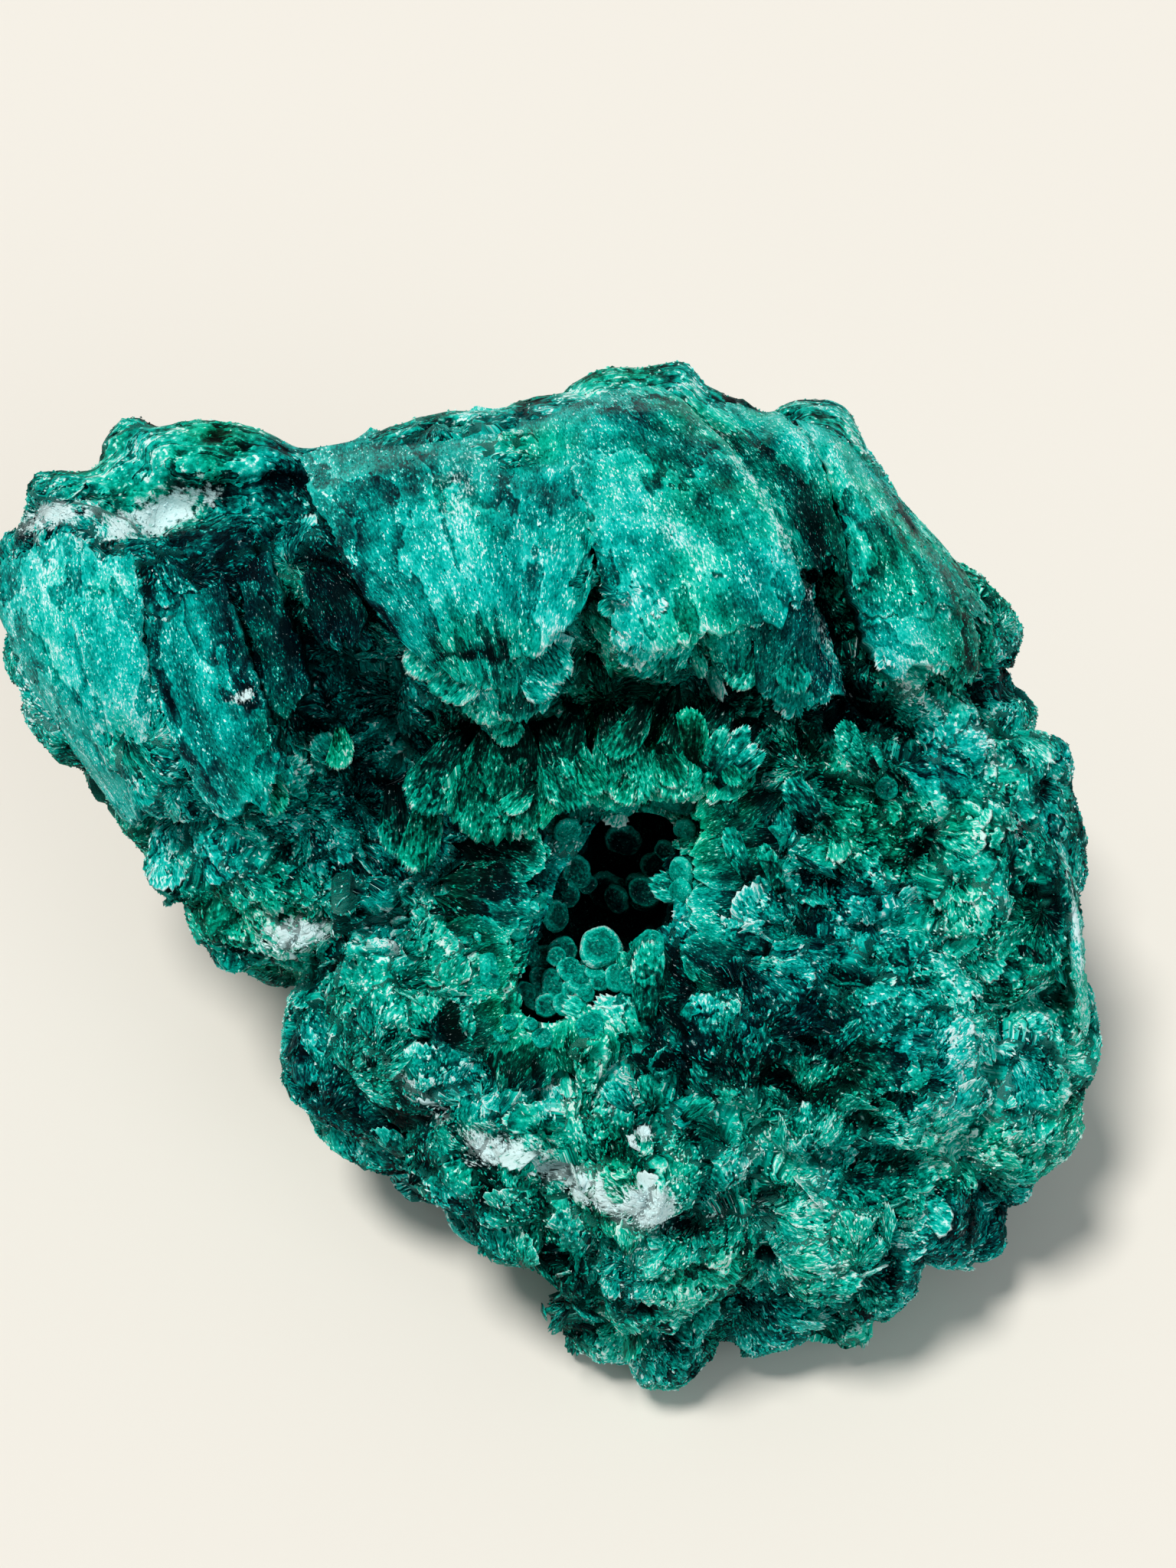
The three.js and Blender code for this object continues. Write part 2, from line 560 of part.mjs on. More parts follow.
function geometryOf(body) {
  const { numProp, vertProperties, triVerts, numVert } = body.getMesh();
  const positions = new Float32Array(numVert * 3);
  for (let i = 0; i < numVert; i++) {
    positions.set(vertProperties.subarray(i * numProp, i * numProp + 3), i * 3);
  }
  const geometry = new THREE.BufferGeometry();
  geometry.setAttribute('position', new THREE.BufferAttribute(positions, 3));
  geometry.setIndex(new THREE.BufferAttribute(triVerts, 1));
  geometry.computeVertexNormals();
  return geometry;
}

const joined = (bodies) => bodies.reduce((all, body) => all.add(body));
const largest = (body) => body.decompose().reduce((a, b) => (a.volume() > b.volume() ? a : b));

function massSolid() {
  const silk = Object.values(fans).map((fan) => solid(fanGeometry(fan)));
  const round = petals.map((petal) => solid(petalGeometry(petal)));
  const grown = largest(joined([solid(massGeometry()), ...silk, ...round]));
  return largest(withoutSlivers(grown));
}

// The crust: a lining and its plates, kept inside the vug and off the petals over it
function crustSolid(mass) {
  const lining = solid(vugSpace(0.1, 0.2, 0.4)).subtract(solid(vugSpace(crustThickness, 0, 6)));
  const grown = joined([lining, ...plates.map((plate) => solid(plateGeometry(plate)))]);
  const shifts = [0, 1, 2].flatMap((k) => [-clearance, clearance].map((d) => {
    const shift = [0, 0, 0];
    shift[k] = d;
    return shift;
  }));
  const kept = grown.intersect(solid(vugSpace(crustGap, 0, 6)));
  const clear = shifts.reduce(
    (body, shift) => body.subtract(solid(geometryOf(mass).translate(...shift))), kept,
  );
  return largest(withoutSlivers(clear));
}

function mesh(name, geometry, color, roughness) {
  const material = new THREE.MeshStandardMaterial({ color, roughness, metalness: 0, flatShading: true });
  const made = new THREE.Mesh(geometry, material);
  made.name = name;
  return made;
}

const mass = massSolid();

const face = new THREE.Group();
face.rotation.x = (90 - faceElevation) * degree;
face.position.set(-baseFromMouth[0], -baseFromMouth[1], mouthAboveBase);
face.add(
  mesh('malachite_mass', geometryOf(mass), 0x128a74, 0.5),
  mesh('vug_crust', geometryOf(crustSolid(mass)), 0x1d8f7c, 0.4),
);

const specimen = new THREE.Group();
specimen.add(face);

export default specimen;
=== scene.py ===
import bpy
import numpy as np
from mathutils import Matrix


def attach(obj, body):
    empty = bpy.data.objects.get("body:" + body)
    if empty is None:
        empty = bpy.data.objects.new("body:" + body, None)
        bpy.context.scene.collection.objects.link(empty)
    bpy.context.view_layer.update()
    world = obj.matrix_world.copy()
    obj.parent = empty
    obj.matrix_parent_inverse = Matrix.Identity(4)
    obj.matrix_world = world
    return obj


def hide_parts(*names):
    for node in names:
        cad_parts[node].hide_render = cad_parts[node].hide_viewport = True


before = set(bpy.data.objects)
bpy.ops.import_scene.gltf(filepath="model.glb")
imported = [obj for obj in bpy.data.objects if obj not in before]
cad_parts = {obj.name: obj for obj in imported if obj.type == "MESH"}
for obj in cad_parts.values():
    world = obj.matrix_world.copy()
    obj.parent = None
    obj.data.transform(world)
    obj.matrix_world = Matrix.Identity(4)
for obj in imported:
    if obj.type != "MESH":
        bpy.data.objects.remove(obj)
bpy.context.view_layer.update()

# The face frame's lean and place, as the solid has them
faceElevation = np.radians(55)
sinE = np.sin(faceElevation)
cosE = np.cos(faceElevation)
mouthAboveBase = 37
baseFromMouth = (3, 4)
baseReach = 27
baseHub = (-9, -6)
domeHeight = 12
lipHeight = -2
fadeFrom = 0.84
flankDepth = 22
flankTaper = 0.98
rimReachTypical = 48
vugDepth = 24
vugFlare = np.radians(132)
crustGap = 0.4

rim = np.array([
    [47.5, 1.5, -5], [45.6, 6.7, -5], [44, 11.6, -4], [44.2, 15.5, -4], [41.4, 19.2, -4],
    [38.3, 21.8, -4], [37.4, 24.2, -5], [38.4, 26, -5], [37.6, 30, -5], [34.2, 34, -5],
    [30.2, 38.5, -6], [27.6, 41.4, -6], [25.2, 45, -7], [23.8, 49, -8], [21.4, 50.4, -8],
    [17.4, 50.5, -8], [15.2, 49.2, -8], [12.4, 50.2, -8], [9.2, 51, -8], [7, 53, -8],
    [3.2, 52.9, -8], [-1.5, 53.2, -8], [-5.4, 51.8, -8], [-9.2, 50, -7], [-11.4, 48.6, -6],
    [-16.4, 48.3, -5], [-21.4, 47.3, -5], [-26, 46.3, -5], [-30.4, 45.1, -5], [-34.4, 46.5, -5],
    [-39.6, 47.1, -5], [-44.4, 47.2, -5], [-47.8, 47.8, -6], [-50.4, 45.6, -7], [-52, 43.4, -7],
    [-55.6, 43.4, -7], [-58, 42, -7], [-58.4, 38.6, -6], [-61, 35.6, -6], [-62.4, 31, -6],
    [-61, 25.6, -6], [-58, 21.2, -6], [-54.6, 16.8, -6], [-51, 12.3, -6], [-48.4, 8.2, -6],
    [-46.8, 3.8, -7], [-44.8, 1.8, -7], [-41.8, 1.6, -7], [-40.4, -2.2, -8], [-38.2, -5.4, -8],
    [-34.8, -5.6, -8], [-32.5, -7.6, -8], [-31.8, -12, -8], [-31, -17, -8], [-28.6, -21, -8],
    [-25.4, -25.6, -8], [-21.6, -29.5, -8], [-16.6, -32.5, -8], [-11.8, -34.4, -8],
    [-7.6, -36, -8], [-4.2, -38.6, -8], [-4.5, -42.4, -8], [-1.6, -45, -8], [2.4, -47, -8],
    [6.4, -46.5, -8], [9, -43.9, -8], [14, -43.3, -8], [19, -43.8, -8], [24, -44.4, -8],
    [28, -42, -8], [29.8, -38, -7], [30.7, -34.3, -7], [34.8, -36.2, -8], [39, -34.8, -8],
    [41.2, -30.6, -8], [42, -26.2, -7], [44.6, -22.4, -6], [45.8, -17.6, -6], [47.4, -12.6, -6],
    [48.2, -7.6, -6], [48, -3, -5],
])
mouth = np.array([
    [5.4, -0.6], [5.6, 3], [6.2, 6], [5.2, 8.7], [2.2, 9.4], [-1.2, 8.6], [-3, 6], [-5, 3.6],
    [-6, 0.6], [-7.4, -2.6], [-8.8, -6.2], [-8.4, -8.9], [-5.6, -9.8], [-2, -8.4], [1.6, -6.4],
    [4.2, -3.8],
])
mouthMiddle = np.array([-1.2, 0])

# Round swells and hollows: x, y, half-sizes, turn in degrees and lift
swells = [
    (4, 31, 27, 11, 0, 9), (-17, 30, 10, 11, 15, 4), (4, -24, 25, 11, 10, 6),
    (34, 4, 10, 15, 10, 3), (-50, 22, 9, 14, 20, 2), (-2, 48, 9, 2.4, 0, 3),
]
hollows = [
    (-2, 13, 17, 6, 0, -8), (-23, 18, 6, 12, 15, -11), (-41, 5, 7, 2.4, -35, -3),
    (18.6, 31, 2.6, 10, 14, -11), (24, 18.6, 5, 2, -32, -7), (-38, 38.5, 8, 2, 12, -5),
    (7.5, -20, 2, 1.6, 0, -4), (24.5, -24, 2.6, 1.8, 0, -4), (22.6, -18.5, 2, 1.6, 0, -4),
    (39, 1, 1.6, 3.2, 0, -5), (37.5, -30, 3.4, 3, 0, -4),
]

# Silky fans: left and right edge from root to tip, bow of the tip, rise at root, middle and
# tip, crown, tone and paleness. slant lifts the right edge over the left, sunk lowers the
# whole fan, and ragged is how deep its tip is cut.
fans = {
    "wingOuter": dict(left=[(-47.2, 7.6), (-54.6, 17), (-61, 32)],
                      right=[(-45, 9), (-49, 22), (-50.2, 36.4)],
                      bow=2, rise=(-1, 0.8, 0.6), crown=1, tone=0.1, pale=0.1),
    "wingInner": dict(left=[(-46.4, 9), (-50.6, 22), (-51.8, 36.4)],
                      right=[(-42.6, 11), (-42.6, 23), (-44.2, 33.6)],
                      bow=0.6, rise=(-1, 1.4, 1), crown=0.9, tone=0.12, pale=0.14),
    "wingShoulder": dict(left=[(-44.4, 32.6), (-43.6, 18), (-37, 8.6)],
                         right=[(-37, 33.3), (-32.4, 21), (-29.4, 13)],
                         bow=2.4, rise=(-1, 0.6, 2), crown=1.2, tone=-0.02, pale=0),
    "shadowRib": dict(left=[(-36, 33.3), (-33.6, 25.4), (-32.4, 18)],
                      right=[(-32, 33.7), (-28.6, 26.6), (-27.6, 19.4)],
                      bow=1, rise=(-1.4, -1, -2.4), crown=1.2, tone=-0.28, pale=0),
    "oval": dict(left=[(-28.4, 32.4), (-29.6, 27), (-26.6, 24.4)],
                 right=[(-27.4, 32), (-19.6, 29.4), (-23.6, 24.6)],
                 bow=1, rise=(-2, -1.5, -3), crown=1.2, tone=-0.18, pale=0),
    "leftBrow": dict(left=[(-31, 45.8), (-26.4, 32.4), (-18, 23.4)],
                     right=[(-10, 50.2), (-6.2, 37), (-7.4, 23.6)],
                     bow=3.6, rise=(-1.6, 2.6, 3.4), crown=2.6, tone=0.02, pale=0),
    "leftStrip": dict(left=[(-10.8, 49.6), (-8.4, 38), (-9.6, 23.4)],
                      right=[(-4.2, 51.4), (-0.2, 40), (-2.2, 28)],
                      bow=3.6, rise=(-2.2, 2.6, 3.4), crown=1.6, tone=0, pale=0.02),
    "browTail": dict(left=[(-17.6, 25.6), (-15.8, 21), (-11.4, 16.4)],
                     right=[(-3.4, 26.6), (-3.6, 21.6), (-7.4, 16.2)],
                     bow=1.4, rise=(1.4, 2, -0.6), crown=1.8, tone=0.02, pale=0.04, ragged=1.3),
    "middleBrow": dict(left=[(-6, 48.4), (-3.4, 38), (0.4, 23)],
                       right=[(3, 52.4), (14.8, 42.2), (17.8, 26.8)],
                       bow=1.2, rise=(-1, 4.6, 3.6), crown=2.8, tone=0, pale=0),
    "middleTip": dict(left=[(0.6, 28), (-0.6, 25), (0.6, 20.6)],
                      right=[(8.4, 28), (8, 25), (5, 20.6)],
                      bow=0.6, rise=(2.4, 2.4, 1.4), crown=1.2, tone=0.04, pale=0.02, ragged=1.4),
    "middleTail": dict(left=[(8, 30), (7.4, 25), (9.8, 21)],
                       right=[(18, 31.6), (18.8, 26), (16, 20.4)],
                       bow=1.4, rise=(1.8, 2, -0.2), crown=1.4, tone=-0.08, pale=0, ragged=1.3),
    "valleyFan": dict(left=[(3, 52.6), (12.6, 43), (16, 32)],
                      right=[(15.4, 49.2), (20.4, 44), (21.8, 31)],
                      bow=1, rise=(-1, 1.2, -4), crown=1.2, tone=0.04, pale=0.06, slant=5),
    "rightBrow": dict(left=[(17.4, 48.4), (21.4, 37.5), (22, 26.2)],
                      right=[(24.6, 47), (28, 38), (33.6, 28.6)],
                      bow=1, rise=(-1, 3, 2.6), crown=2, tone=0.02, pale=0),
    "rightSlope": dict(left=[(23.4, 44.6), (27.8, 37.6), (31.6, 28.2)],
                       right=[(26.2, 41.6), (33, 35.6), (36.8, 26.8)],
                       bow=1, rise=(-1, 1.4, 1.4), crown=1.2, tone=0.05, pale=0),
    "rightLap": dict(left=[(21.2, 33), (21.2, 26), (25, 20.8)],
                     right=[(31, 33), (35, 27), (34, 20.6)],
                     bow=-1, rise=(-1, 2.4, 1.6), crown=1.4, tone=0.08, pale=0),
    "cone": dict(left=[(17, 28.4), (15, 23.4), (12.8, 20)],
                 right=[(19, 28.4), (20.6, 23.4), (22.4, 18.6)],
                 bow=1.4, rise=(-2.6, -1.4, -1.6), crown=1.8, tone=0.12, pale=0.1),
    "rightRib": dict(left=[(41.4, 10.6), (43, -1), (44.8, -12)],
                     right=[(43, 10.8), (45.6, -1), (46.6, -12)],
                     bow=0.6, rise=(-1, 1, 0), crown=0.7, tone=0.06, pale=0.05, sunk=0.3),
}

# Petals round the mouth of the vug: root, tip, half-width and the tip's rise
petals = [
    ((-10.5, 20), (-9, 6.8), 5.4, 0.6), ((-1.2, 19.5), (-0.4, 9.2), 3.4, 0.4),
    ((6.6, 21.5), (5, 9.6), 3.8, 0.8), ((13, 19), (8.6, 10.2), 2.6, 0.6),
    ((15.5, 12.4), (7.4, 8), 2.7, 1), ((16.4, 6.6), (6.6, 4.6), 2.8, 1.4),
    ((16.4, 0.4), (6.4, 0.8), 2.8, 1.2), ((14.4, -6.4), (6, -2.6), 2.6, 1.2),
    ((4, -13.4), (2.7, -1.6), 2.3, 1.2), ((-2.4, -16), (-3, -8.6), 3, 0.8),
    ((-10, -17), (-7.4, -10.2), 3, 0.8), ((-17, -11), (-9.8, -7.8), 3, 1.2),
    ((-18, -4.4), (-8.8, -3.6), 3.4, 1.4), ((-16.6, 2.4), (-7.2, 0.4), 3.2, 1.4),
    ((-15, 8), (-5.8, 4.4), 2.6, 0.6),
]
petalEdge = [(0, 0.4), (0.6, 1.3), (0.86, 0.62)]
petalBow = 0.14
petalRise = (-1.5, 0.2)
petalCrown = 1.4

# Broad domes of sprays: how many, how high, the crease between one and the next, and the
# strides round the face and out from the mouth that spread them
sprays = dict(count=96, dome=1.6, reach=8, crease=1.5, creaseWidth=2, lowest=0.4,
              strideRound=0.7548776662, strideOut=0.5698402910, outFrom=0.04, outSpan=1.92,
              outPower=0.62)

# Rounded plates of the crust: x, y and z of the crown, and radius
plates = [
    (-1.2, -2.8, 7.6, 2.2), (-3, -5.8, 7, 1.7), (-5.3, -6.6, 6.2, 1.6), (-7, -7.8, 6, 1.4),
    (-4.6, -3.6, 5.2, 1.5), (-6.4, -4.6, 4, 1.5), (-5, -0.4, 4.6, 1.5), (-3.4, 3.6, 3.6, 1.5),
    (2.6, 1.4, -2, 1.9), (-0.6, 1.2, -5, 2.1), (4.2, 4, -1, 1.6), (1, 6.2, -2, 1.8),
    (-1.8, -6, 1, 1.8),
]

# Small plates between them, and the rounded lobes round the mouth: x, y, z or height over
# the face, radius, how far it faces the vug, and tone
smallPlates = [
    (-5.2, -4, 6.6, 1), (-4, -4.9, 6.8, 1.3), (-3.6, -7, 7.2, 1.3), (-4.3, -8.2, 7.4, 1.3),
    (-2.6, -7.3, 7.6, 1), (-1.2, -6.2, 7.7, 1), (-1.7, -5.2, 7.4, 0.9), (0.6, -5.8, 8, 1.4),
    (-6.8, -6, 5.2, 1.1), (-8, -7.2, 6.4, 1), (-6.2, -8.6, 7, 1.1), (0.2, 0.8, -1, 1.4),
    (2.9, 1.7, 1.4, 1.6), (-2.4, 2.4, 2.4, 1), (4.8, 5.6, 2.6, 1.1), (-4.2, 1.4, 3.4, 1.1),
]
lobes = [
    (-12.6, 0.7, 0.6, 1.8, 0.5, 0.62), (-11.3, -1.7, 0.8, 1.5, 0.6, 0.64),
    (-10.4, -4.9, 0.8, 1.9, 0.7, 0.6), (-8.7, 1.7, 0.5, 1.2, 0.7, 0.56),
    (-7.9, -0.7, 0.3, 1.8, 0.8, 0.66), (-6.3, 0.6, -0.2, 1.4, 0.9, 0.62),
    (-7.6, -3.2, -0.8, 1.4, 1, 0.4), (-9.4, -9.6, 0.6, 0.8, 0.8, 0.56),
    (-7.5, -9.7, 0.6, 0.7, 0.8, 0.58), (-10.2, -10.8, 0.4, 0.8, 0.6, 0.5),
    (-6.4, -10.9, 0.4, 1, 0.6, 0.54), (-2.2, -9.7, 0.7, 1.4, 0.7, 0.58),
    (6.5, 7.6, 0.6, 1.2, 0.8, 0.6), (5.9, 3.8, 0.7, 1.4, 0.9, 0.68), (5.9, 2.2, 0.6, 1.2, 0.9, 0.62),
    (10.5, 8.2, 0.8, 1.2, 0.4, 0.52), (12.8, 9, 1, 1.4, 0.4, 0.62), (14.9, 7, 1, 1.1, 0.3, 0.58),
    (9.4, 6.6, 0.8, 1.1, 0.4, 0.5), (13.4, 6.2, 0.9, 1.5, 0.3, 0.54), (0.4, 9.9, 0.5, 2, 0.8, 0.66),
    (5.4, 10.2, 0.6, 2.1, 0.7, 0.64), (25.3, 11.6, 0.6, 1.1, 0.3, 0.5), (-4.2, 7.4, 0.5, 1.4, 0.8, 0.6),
    (2.9, -2.6, 0.8, 1.7, 0.8, 0.6), (1.6, -5.6, 0.6, 1.4, 0.7, 0.54),
]

# Single large fronds: x, y, height over the brow's line at root and tip, heading, length,
# spread, tone, hue
tufts = [
    (-12.1, 23.6, 2.8, 2.4, -138, 6, 0.7, 0.58, 0.4),  # the left brow's lower tier
    (-11.3, 23, 2.6, 1.8, -108, 6.4, 0.5, 0.56, 0.5),
    (-9.8, 23, 2.6, 2, -72, 5.8, 0.5, 0.54, 0.5),
    (-9.4, 24, 2.8, 2.6, -38, 6.4, 0.42, 0.64, 0.2),
    (-6.8, 25, 3, 2.4, -54, 5.2, 0.4, 0.58, 0.2),
    (-14.6, 24.8, 3, 2.2, -132, 5.4, 0.45, 0.56, 0.4),
    (-16.4, 27.6, 1.8, 1.2, -150, 4.2, 0.4, 0.5, 0.3),
    (-9.8, 19.4, 1, 0.4, -90, 4.8, 0.4, 0.54, 0.6),
    (-25.4, 13.6, -7, -5.5, 130, 4.4, 0.45, 0.6, 0.3),  # two in the dark recess
    (-25.6, 17.4, -6, -6, -85, 4.2, 0.4, 0.62, 0.9),
    (-9.5, 19, -2, 1.6, -97, 13, 0.46, 0.34, 0.7),  # the long ones over the vug
    (-6.2, 18, -1.6, 2, -64, 9, 0.34, 0.4, 0.65),
    (-14, 17, -3, 0.6, -116, 9, 0.34, 0.36, 0.55),
    (-3.4, 19.4, -2, 1.4, -104, 7, 0.3, 0.3, 0.7),
    (-0.2, 18.6, -1.4, 2, -80, 8.8, 0.42, 0.46, 0.7),
    (3, 19.8, -1.8, 1.6, -114, 6.4, 0.3, 0.3, 0.7),
    (6.6, 18.8, -1.4, 2.2, -96, 8.8, 0.44, 0.46, 0.75),
    (10.4, 19.4, -1.8, 1.7, -118, 8.4, 0.34, 0.34, 0.6),
    (7.4, 13, 0.8, 1.8, 88, 6.4, 0.24, 0.34, 0.9),
    (8.7, 12.6, 1, 2, 54, 6.4, 0.11, 0.56, 0.3),
    (9.2, 12, 1, 1.8, 36, 5.8, 0.1, 0.5, 0.3),
    (8, 12.8, 1, 2, 68, 5.6, 0.1, 0.5, 0.5),
    (-12.6, 12.6, 0, 1.6, -56, 4.4, 0.5, 0.42, 0.6),
    (-7.2, 12.4, 0.6, 2.2, -132, 4.2, 0.4, 0.46, 0.7),
    (-3.6, 14.6, 0.4, 2.2, -58, 4.4, 0.4, 0.44, 0.8),
    (1.8, 14.2, 0.4, 2.4, -112, 4.4, 0.36, 0.46, 0.8),
    (4.2, 15.8, 0.4, 2.4, -66, 4.6, 0.4, 0.42, 0.8),
    (9.6, 15.2, 0.4, 2.4, -56, 4, 0.36, 0.44, 0.7),
    (9.8, 12.8, 1, 2, 45, 4.6, 0.1, 0.6, 0.2),
    (14, 17.5, -2, 0.4, -128, 7.4, 0.26, 0.38, 0.5),
    (-17.2, 11.6, -4, -1, -94, 8, 0.26, 0.4, 0.7),
    (-20.6, 12, -6, -3, -88, 7, 0.22, 0.34, 0.5),
    (12.6, 3.2, 0.2, 0.4, 118, 5.6, 0.16, 0.5, 0.4),  # right of the vug
    (9.4, -2, 0, 0.2, 126, 4.6, 0.14, 0.5, 0.3),
    (15.4, 2, 0.2, 0.4, 108, 5, 0.16, 0.46, 0.5),
    (14.4, -3.2, 0, 0.2, 160, 6.4, 0.14, 0.5, 0.2),
    (11, 9, 0.4, 0.6, 104, 4.2, 0.2, 0.46, 0.5),
    (19, 8.6, 0.4, 0.8, 128, 5.4, 0.26, 0.4, 0.3),
    (24, 13, 0.4, 0.8, 134, 6, 0.24, 0.42, 0.5),
    (0.9, 31, 2, 1.8, -140, 3, 0.4, 0.58, 0.2),  # the middle brow's left edge
    (1, 29, 2.2, 1.8, -136, 3, 0.4, 0.56, 0.2),
    (1.6, 27, 2.2, 1.8, -130, 3.2, 0.4, 0.6, 0.2),
    (2.2, 25.4, 2, 1.4, -122, 3.4, 0.4, 0.6, 0.2),
    (3.4, 24.6, 1.8, 1, -108, 3.6, 0.45, 0.56, 0.3),
    (5.6, 24.8, 1.8, 1, -84, 2.8, 0.45, 0.48, 0.4),
    (12, 25, 2.6, 1.4, -112, 5, 0.4, 0.44, 0.5),
    (15.4, 25, 2.6, 1.6, -84, 5.4, 0.36, 0.46, 0.3),
    (17.6, 26.6, -1.6, -1.4, -118, 6.4, 0.14, 0.62, 0.3),  # the cone under the valley
    (18.2, 26.4, -1.2, -1, -100, 7, 0.14, 0.66, 0.2),
    (18.6, 26.2, -1.4, -1.2, -82, 6.4, 0.14, 0.5, 0.4),
    (-38, 12.6, 0.4, 0.8, -60, 4, 0.4, 0.52, 0.7),
    (-33, 13, 0, 0.4, -50, 4.4, 0.45, 0.52, 0.8),
    (3, -9.6, 0.6, 1.4, 92, 7.6, 0.2, 0.54, 0.5),  # under the vug
    (1.6, -17.6, 0.4, 0.7, 128, 3.6, 0.4, 0.6, 0.2),
    (3.2, -17, 0.4, 0.6, 98, 2.8, 0.3, 0.54, 0.5),
    (6.2, -18.4, 0.4, 0.6, 40, 3.4, 0.3, 0.5, 0.5),
]

# Lighter and darker parts of the face: painted shade in recesses, valleys and under the brow, painted
# sheen on the brow and ridges, and dark and light patches of the stone's own. x, y, half-sizes, turn in
# degrees and amount
paintedLightAndTone = [
    # painted shade in the recess left of the vug
    (-22, 17, 6, 10, 15, -0.2),  # the dark recess left of the vug
    (-30, 27, 5, 8, 20, -0.12),
    # painted shade at the end of the cleft
    (-34, 37.6, 4.6, 2.8, 10, -0.16),  # the blackish end of the cleft
    # painted shade under the brow
    (-2, 17, 13, 3, 0, -0.12),  # under the brow
    # painted shade in the deep valley
    (19.8, 30.4, 2, 8.6, 12, -0.5),  # the deep valley
    (7, 46, 5, 3, 0, -0.12),
    (26, 33, 2, 3, 30, -0.16),
    (33.6, 23.6, 2, 1.6, 0, -0.2),
    (11, -2, 4, 0.9, -17, 0.2),
    (9, -6.4, 2, 0.7, -40, 0.2),
    (23.4, 20.6, 2, 1.6, -32, -0.4),
    (27.2, 17.4, 2.4, 0.9, -32, -0.4),
    (33, 28, 3, 2.6, 0, -0.2),
    (16.5, 15, 2.4, 3, 0, -0.14),
    (20.4, 10.6, 3, 1.6, -40, -0.2),
    (28.2, 6.6, 2, 2, 0, -0.22),
    (11.7, 3.7, 1.8, 1.6, -40, -0.16),
    (-10.6, 9.6, 3.6, 4, 0, -0.12),
    (6.6, -5.4, 1.2, 4, 0, -0.3),
    (18, -6, 8, 4, 15, -0.2),
    (10.5, -5.6, 1, 0.8, 0, -0.3),
    (40.2, 1, 1.5, 3.4, 0, -0.32),
    (42.4, 12, 3, 5, 0, 0.1),
    (45.6, 4, 0.8, 5, 0, -0.2),
    (11.8, -13.6, 3, 1.8, 0, -0.24),
    (23, -13.3, 5, 3.6, 0, -0.24),
    (7.8, -20.3, 1.6, 1, 0, -0.5),
    (22.8, -19, 1.2, 0.9, 0, -0.5),
    (17.4, -16.4, 1.6, 0.6, 0, -0.4),
    (25, -23.7, 2.6, 2.2, 0, -0.32),
    (10.7, -27.4, 3, 3.2, 0, -0.26),
    (35.6, -29.4, 3, 3, 0, -0.4),  # the dark block low on the right
    (-6, -38, 3, 4, 0, -0.2),
    (-24, -26, 9, 3, -40, -0.14),
    (-14.8, -10.6, 1.6, 1.2, 0, -0.3),
    (-10.6, -8.6, 1.2, 1, 0, -0.3),
    (3.3, -12.4, 0.6, 2, 0, -0.3),
    (6, 29, 5, 2.4, 0, -0.06),
    # painted sheen, the silky light on the brow
    (-14, 40, 2.4, 8, -6, 0.2),  # the silky light on the brow
    (-12.6, 30, 2.2, 3.4, 0, 0.16),
    (-5.4, 32, 2.2, 3, -30, 0.16),
    (0.6, 39, 1.2, 3.4, 40, 0.14),
    (5.6, 34, 1.5, 3.6, 42, 0.18),
    (14, 38, 1.1, 11, 24, 0.2),
    (10, 41, 4, 5, 0, -0.08),
    (16, 45, 1.2, 6, 52, 0.24),
    (21, 48.4, 5, 3, 0, 0.12),
    (-14, 49, 10, 1.8, 6, 0.12),
    (4, 52, 8, 2, 0, 0.1),
    (12, 22, 4, 2.6, 0, -0.1),
    (14.6, 28.6, 3, 3, 0, -0.1),
    (-27, 33.4, 3, 2.4, -20, -0.24),
    (-40, 44, 12, 3.4, 4, 0.12),
    (14, -21, 15, 8, 0, 0.09),
    (34, -14, 9, 9, 0, 0.1),
    (-21, -18, 9, 9, 0, -0.12),
    (25, 38, 1, 8, 38, 0.16),
    (-22, 34, 4, 6, 0, -0.08),
    (-48, 14, 2, 6, 20, 0.12),
    (-52, 30, 3, 6, 10, 0.08),
    (35.2, 15, 3.2, 1.1, -45, 0.14),
    (31.7, 11.4, 1.4, 3, 0, 0.16),
    (36, 5, 3, 3, 0, -0.06),
    (25.4, 23.4, 2.6, 2.4, 0, 0.14),
    (28.4, 19.8, 2.2, 0.8, -30, 0.22),
    (38.6, 19, 4, 1, -50, 0.14),
    (18, -25, 2, 3.6, 0, 0.2),
    (19.4, -32, 4, 4, 0, 0.1),
    (32, -21.4, 5, 2.6, 15, 0.2),
    (26.4, -28.4, 3, 2.6, 0, 0.14),
    (32, -11.8, 2, 1.4, 0, 0.16),
    (-1, -20, 6, 4.6, 0, 0.14),
    (-16, -14, 9, 5, -25, 0.1),
    (-14, -4, 4, 6, 0, 0.08),
    (10, 0, 4, 6, 0, 0.08),
    (0.6, 10.4, 2.6, 1.2, 0, 0.2),  # the bright lobes over the vug
    (5.6, 10.8, 2.4, 1.2, 0, 0.2),
]
